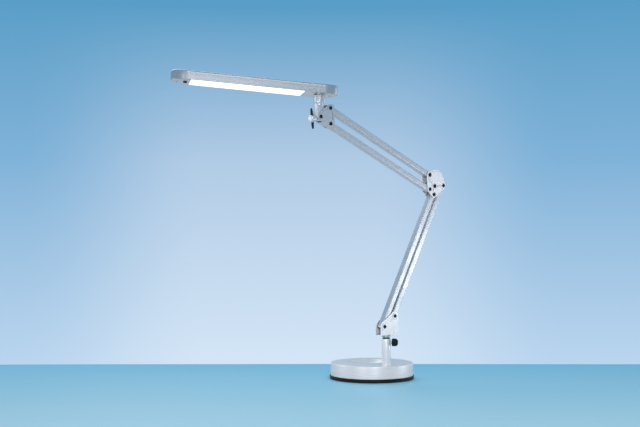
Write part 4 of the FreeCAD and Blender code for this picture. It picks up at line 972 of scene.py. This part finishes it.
class LAMP_OT_knuckle(LampPiece, bpy.types.Operator):
    """Makes the knuckle and the wing knob"""
    bl_idname = "lamp.knuckle"
    bl_label = "Knuckle and wing knob"

    def make(self, sizes, colours):
        finished("knuckle", 0.0004)
        finished("grub_screw", 0.0001)
        finished("wing_screw", 0.0002)
        finished("wing_hub", 0.0005)
        self.blades()

    def blades(self):
        """One sweep from tip to tip: oval sections, widest at the hub, whose width falls evenly to round tips.

        A section's outline is a superellipse of power 2.8. At each tip the width and the thickness shrink
        along a quarter circle and its square root.
        """
        axis = joint_axis("wing_turn")
        offset = node_points("wing_blades") - NOD
        depth = offset @ axis
        middle = NOD + axis * (depth.min() + depth.max()) / 2
        flat = offset - depth[:, None] * axis
        reach = np.linalg.norm(flat, axis=1)
        span = flat[reach.argmax()] / reach.max()
        across = np.cross(axis, span)
        half_span, half_thick = reach.max(), (depth.max() - depth.min()) / 2
        root, tip = 4.5 * MM, 2.5 * MM
        place = half_span * np.sin(np.linspace(-math.pi / 2, math.pi / 2, 81))
        distance = np.abs(place)
        beyond = np.clip((distance - half_span + tip) / tip, 0, 1)
        round_off = np.sqrt(np.maximum(1 - beyond ** 2, 0))
        width = (root + (tip - root) * distance / half_span) * round_off
        thick = half_thick * (1 - 0.3 * (distance / half_span) ** 2) * np.sqrt(round_off)
        turn = np.linspace(0, 2 * math.pi, 40, endpoint=False)
        power = 2 / 2.8
        side = np.sign(np.cos(turn)) * np.abs(np.cos(turn)) ** power
        front = np.sign(np.sin(turn)) * np.abs(np.sin(turn)) ** power
        grid = (middle + place[:, None, None] * span + (width[:, None] * side)[..., None] * across
                + (thick[:, None] * front)[..., None] * axis)
        surface("wing_blades_swept", [grid], "wing_knob", "black_plastic", ("wing_blades",), 60)


class LAMP_OT_head(LampPiece, bpy.types.Operator):
    """Makes the long head: shell, underside, diffuser, stem and button"""
    bl_idname = "lamp.head"
    bl_label = "Head"

    def make(self, sizes, colours):
        self.shell(sizes)
        self.diffuser()
        finished("lamp_base", 0.0005)
        finished("lamp_screws", 0.0001)
        self.stem()
        finished("push_button", 0.0003)
        for node in ("stem_nut", "switch_body", "reflector", "led_board", "led_chips"):
            coloured_node(node)

    def shell(self, sizes):
        """Nested slot-shaped rings: up the side, round the upper edge and in under a wide arch.

        The arch's height at a point is the crown less the rise of a circle through the crown and both
        sides, taken across the head. Near the rim it falls along a quarter circle of the edge's radius.
        """
        low, high = head_span("lamp_shell")
        half_length = (high[0] - low[0]) / 2
        half_width = (high[1] - low[1]) / 2
        middle = (low + high) / 2
        foot = low[2]
        crown = 4.0 * MM
        shoulder = high[2] - crown
        arch = (half_width ** 2 + crown ** 2) / (2 * crown)
        edge = sizes.head_edge
        wall = 1.6 * MM
        bend = np.linspace(0, math.pi / 2, 8)
        insets = [0.25 * MM, 0.0, 0.0] + list(edge * (1 - np.cos(bend)))
        drops = [0.0, 0.25 * MM, None] + list(edge * (1 - np.sin(bend)))
        insets += list(np.linspace(edge, half_width, 16)[1:])
        drops += [0.0] * 15

        def ring_and_roof(inset):
            ring = ring_of(half_length - inset, half_width - inset, half_width - inset, 40)
            return ring, shoulder + crown - (arch - np.sqrt(arch ** 2 - ring[:, 1] ** 2))

        rows = []
        for index, (inset, drop) in enumerate(zip(insets, drops)):
            ring, roof = ring_and_roof(inset)
            if index < 2:
                height = np.full(len(ring), foot + drop)
            elif index == 2:
                height = np.full(len(ring), foot + 4 * MM)
            else:
                height = roof - drop
            rows.append(np.column_stack([ring, height]))
        inner = [(half_width, wall), (half_width * 0.6, wall), (wall, wall), (wall, None)]
        for inset, drop in inner:
            ring, roof = ring_and_roof(inset)
            height = np.full(len(ring), foot) if drop is None else roof - drop
            rows.append(np.column_stack([ring, height]))
        rows.append(rows[0])
        grid = np.array(rows) + np.array([middle[0], middle[1], 0])
        surface("lamp_shell_skin", [in_head(grid)], "head", "head_silver", ("lamp_shell",))

    def stem(self):
        """Turned from the spigot's groove up: collar with a soft lower edge, a fine grip line and the thread."""
        low, high = head_span("head_stem")
        outer = (high[0] - low[0]) / 2
        corners = np.array([
            (17, 0), (17, 4.95), (23, 4.95), (23, 4.15), (27, 4.15), (27, 4.95), (30.3, 4.95), (30.3, outer / MM - 0.3),
            (31.6, outer / MM), (45.6, outer / MM), (45.9, outer / MM - 0.35), (46.2, outer / MM), (48, outer / MM),
            (48, 5.0), (high[2] / MM, 5.0), (high[2] / MM, 0)]) * MM
        radii = np.array([0.5, 0.1, 0.2, 0.2, 0.1, 0.1, 0.8, 0.8, 0.15, 0.15, 0.15, 0.3, 0.1, 0.3]) * MM
        shape = turned(softened(corners, radii), NOD, STEM_UP)
        surface("head_stem_turned", [shape], "head", "polished_steel", ("head_stem",))

    def diffuser(self):
        """A rounded panel whose face is drawn down at its border and very slightly pillowed."""
        low, high = head_span("diffuser")
        lip = 1.6 * MM
        half_length = (high[0] - low[0]) / 2
        half_width = (high[1] - low[1]) / 2
        middle = (low + high) / 2
        step = high[2] - 1.2 * MM
        rows = [(0, high[2]), (0, step), (lip, step), (lip, low[2] + 0.6 * MM), (lip + 0.2 * MM, low[2] + 0.15 * MM),
                (lip + 0.7 * MM, low[2])]
        rows += [(lip + 1.2 * MM + k * 3 * MM, low[2] + 0.1 * MM) for k in range(9)]
        grid = slab_rows(half_length, half_width, 2.0 * MM, rows)
        top_pole = np.broadcast_to(np.array([0, 0, high[2]]), grid[:1].shape)
        under_pole = np.broadcast_to(np.array([0, 0, low[2] + 0.1 * MM]), grid[:1].shape)
        grid = np.concatenate([top_pole, grid, under_pole]) + np.array([middle[0], middle[1], 0])
        surface("diffuser_panel", [in_head(grid)], "head", "diffuser_white", ("diffuser",))


class LAMP_PT_panel(bpy.types.Panel):
    """Lists the lamp's sizes, colours and pieces"""
    bl_label = "Balanced arm lamp"
    bl_idname = "LAMP_PT_panel"
    bl_space_type = "VIEW_3D"
    bl_region_type = "UI"
    bl_category = "Lamp"

    def draw(self, context):
        for settings in (context.scene.lamp_sizes, context.scene.lamp_colours):
            box = self.layout.box()
            for name in settings.__annotations__:
                box.prop(settings, name)
        for operator in OPERATORS:
            self.layout.operator(operator.bl_idname)


OPERATORS = (
    LAMP_OT_stage, LAMP_OT_base, LAMP_OT_post, LAMP_OT_clamp, LAMP_OT_foot, LAMP_OT_arms, LAMP_OT_springs,
    LAMP_OT_elbow, LAMP_OT_head_bracket, LAMP_OT_knuckle, LAMP_OT_head)
CLASSES = (LampSizes, LampColours, *OPERATORS, LAMP_PT_panel)


def register():
    for item in CLASSES:
        bpy.utils.register_class(item)
    bpy.types.Scene.lamp_sizes = PointerProperty(type=LampSizes)
    bpy.types.Scene.lamp_colours = PointerProperty(type=LampColours)


def unregister():
    del bpy.types.Scene.lamp_colours
    del bpy.types.Scene.lamp_sizes
    for item in reversed(CLASSES):
        bpy.utils.unregister_class(item)


def main():
    """Builds the whole lamp."""
    register()
    for operator in OPERATORS:
        group, name = operator.bl_idname.split(".")
        if getattr(getattr(bpy.ops, group), name)() != {"FINISHED"}:
            raise RuntimeError(operator.bl_label + " wasn't finished")
    bpy.context.view_layer.update()


if __name__ == "__main__":
    main()
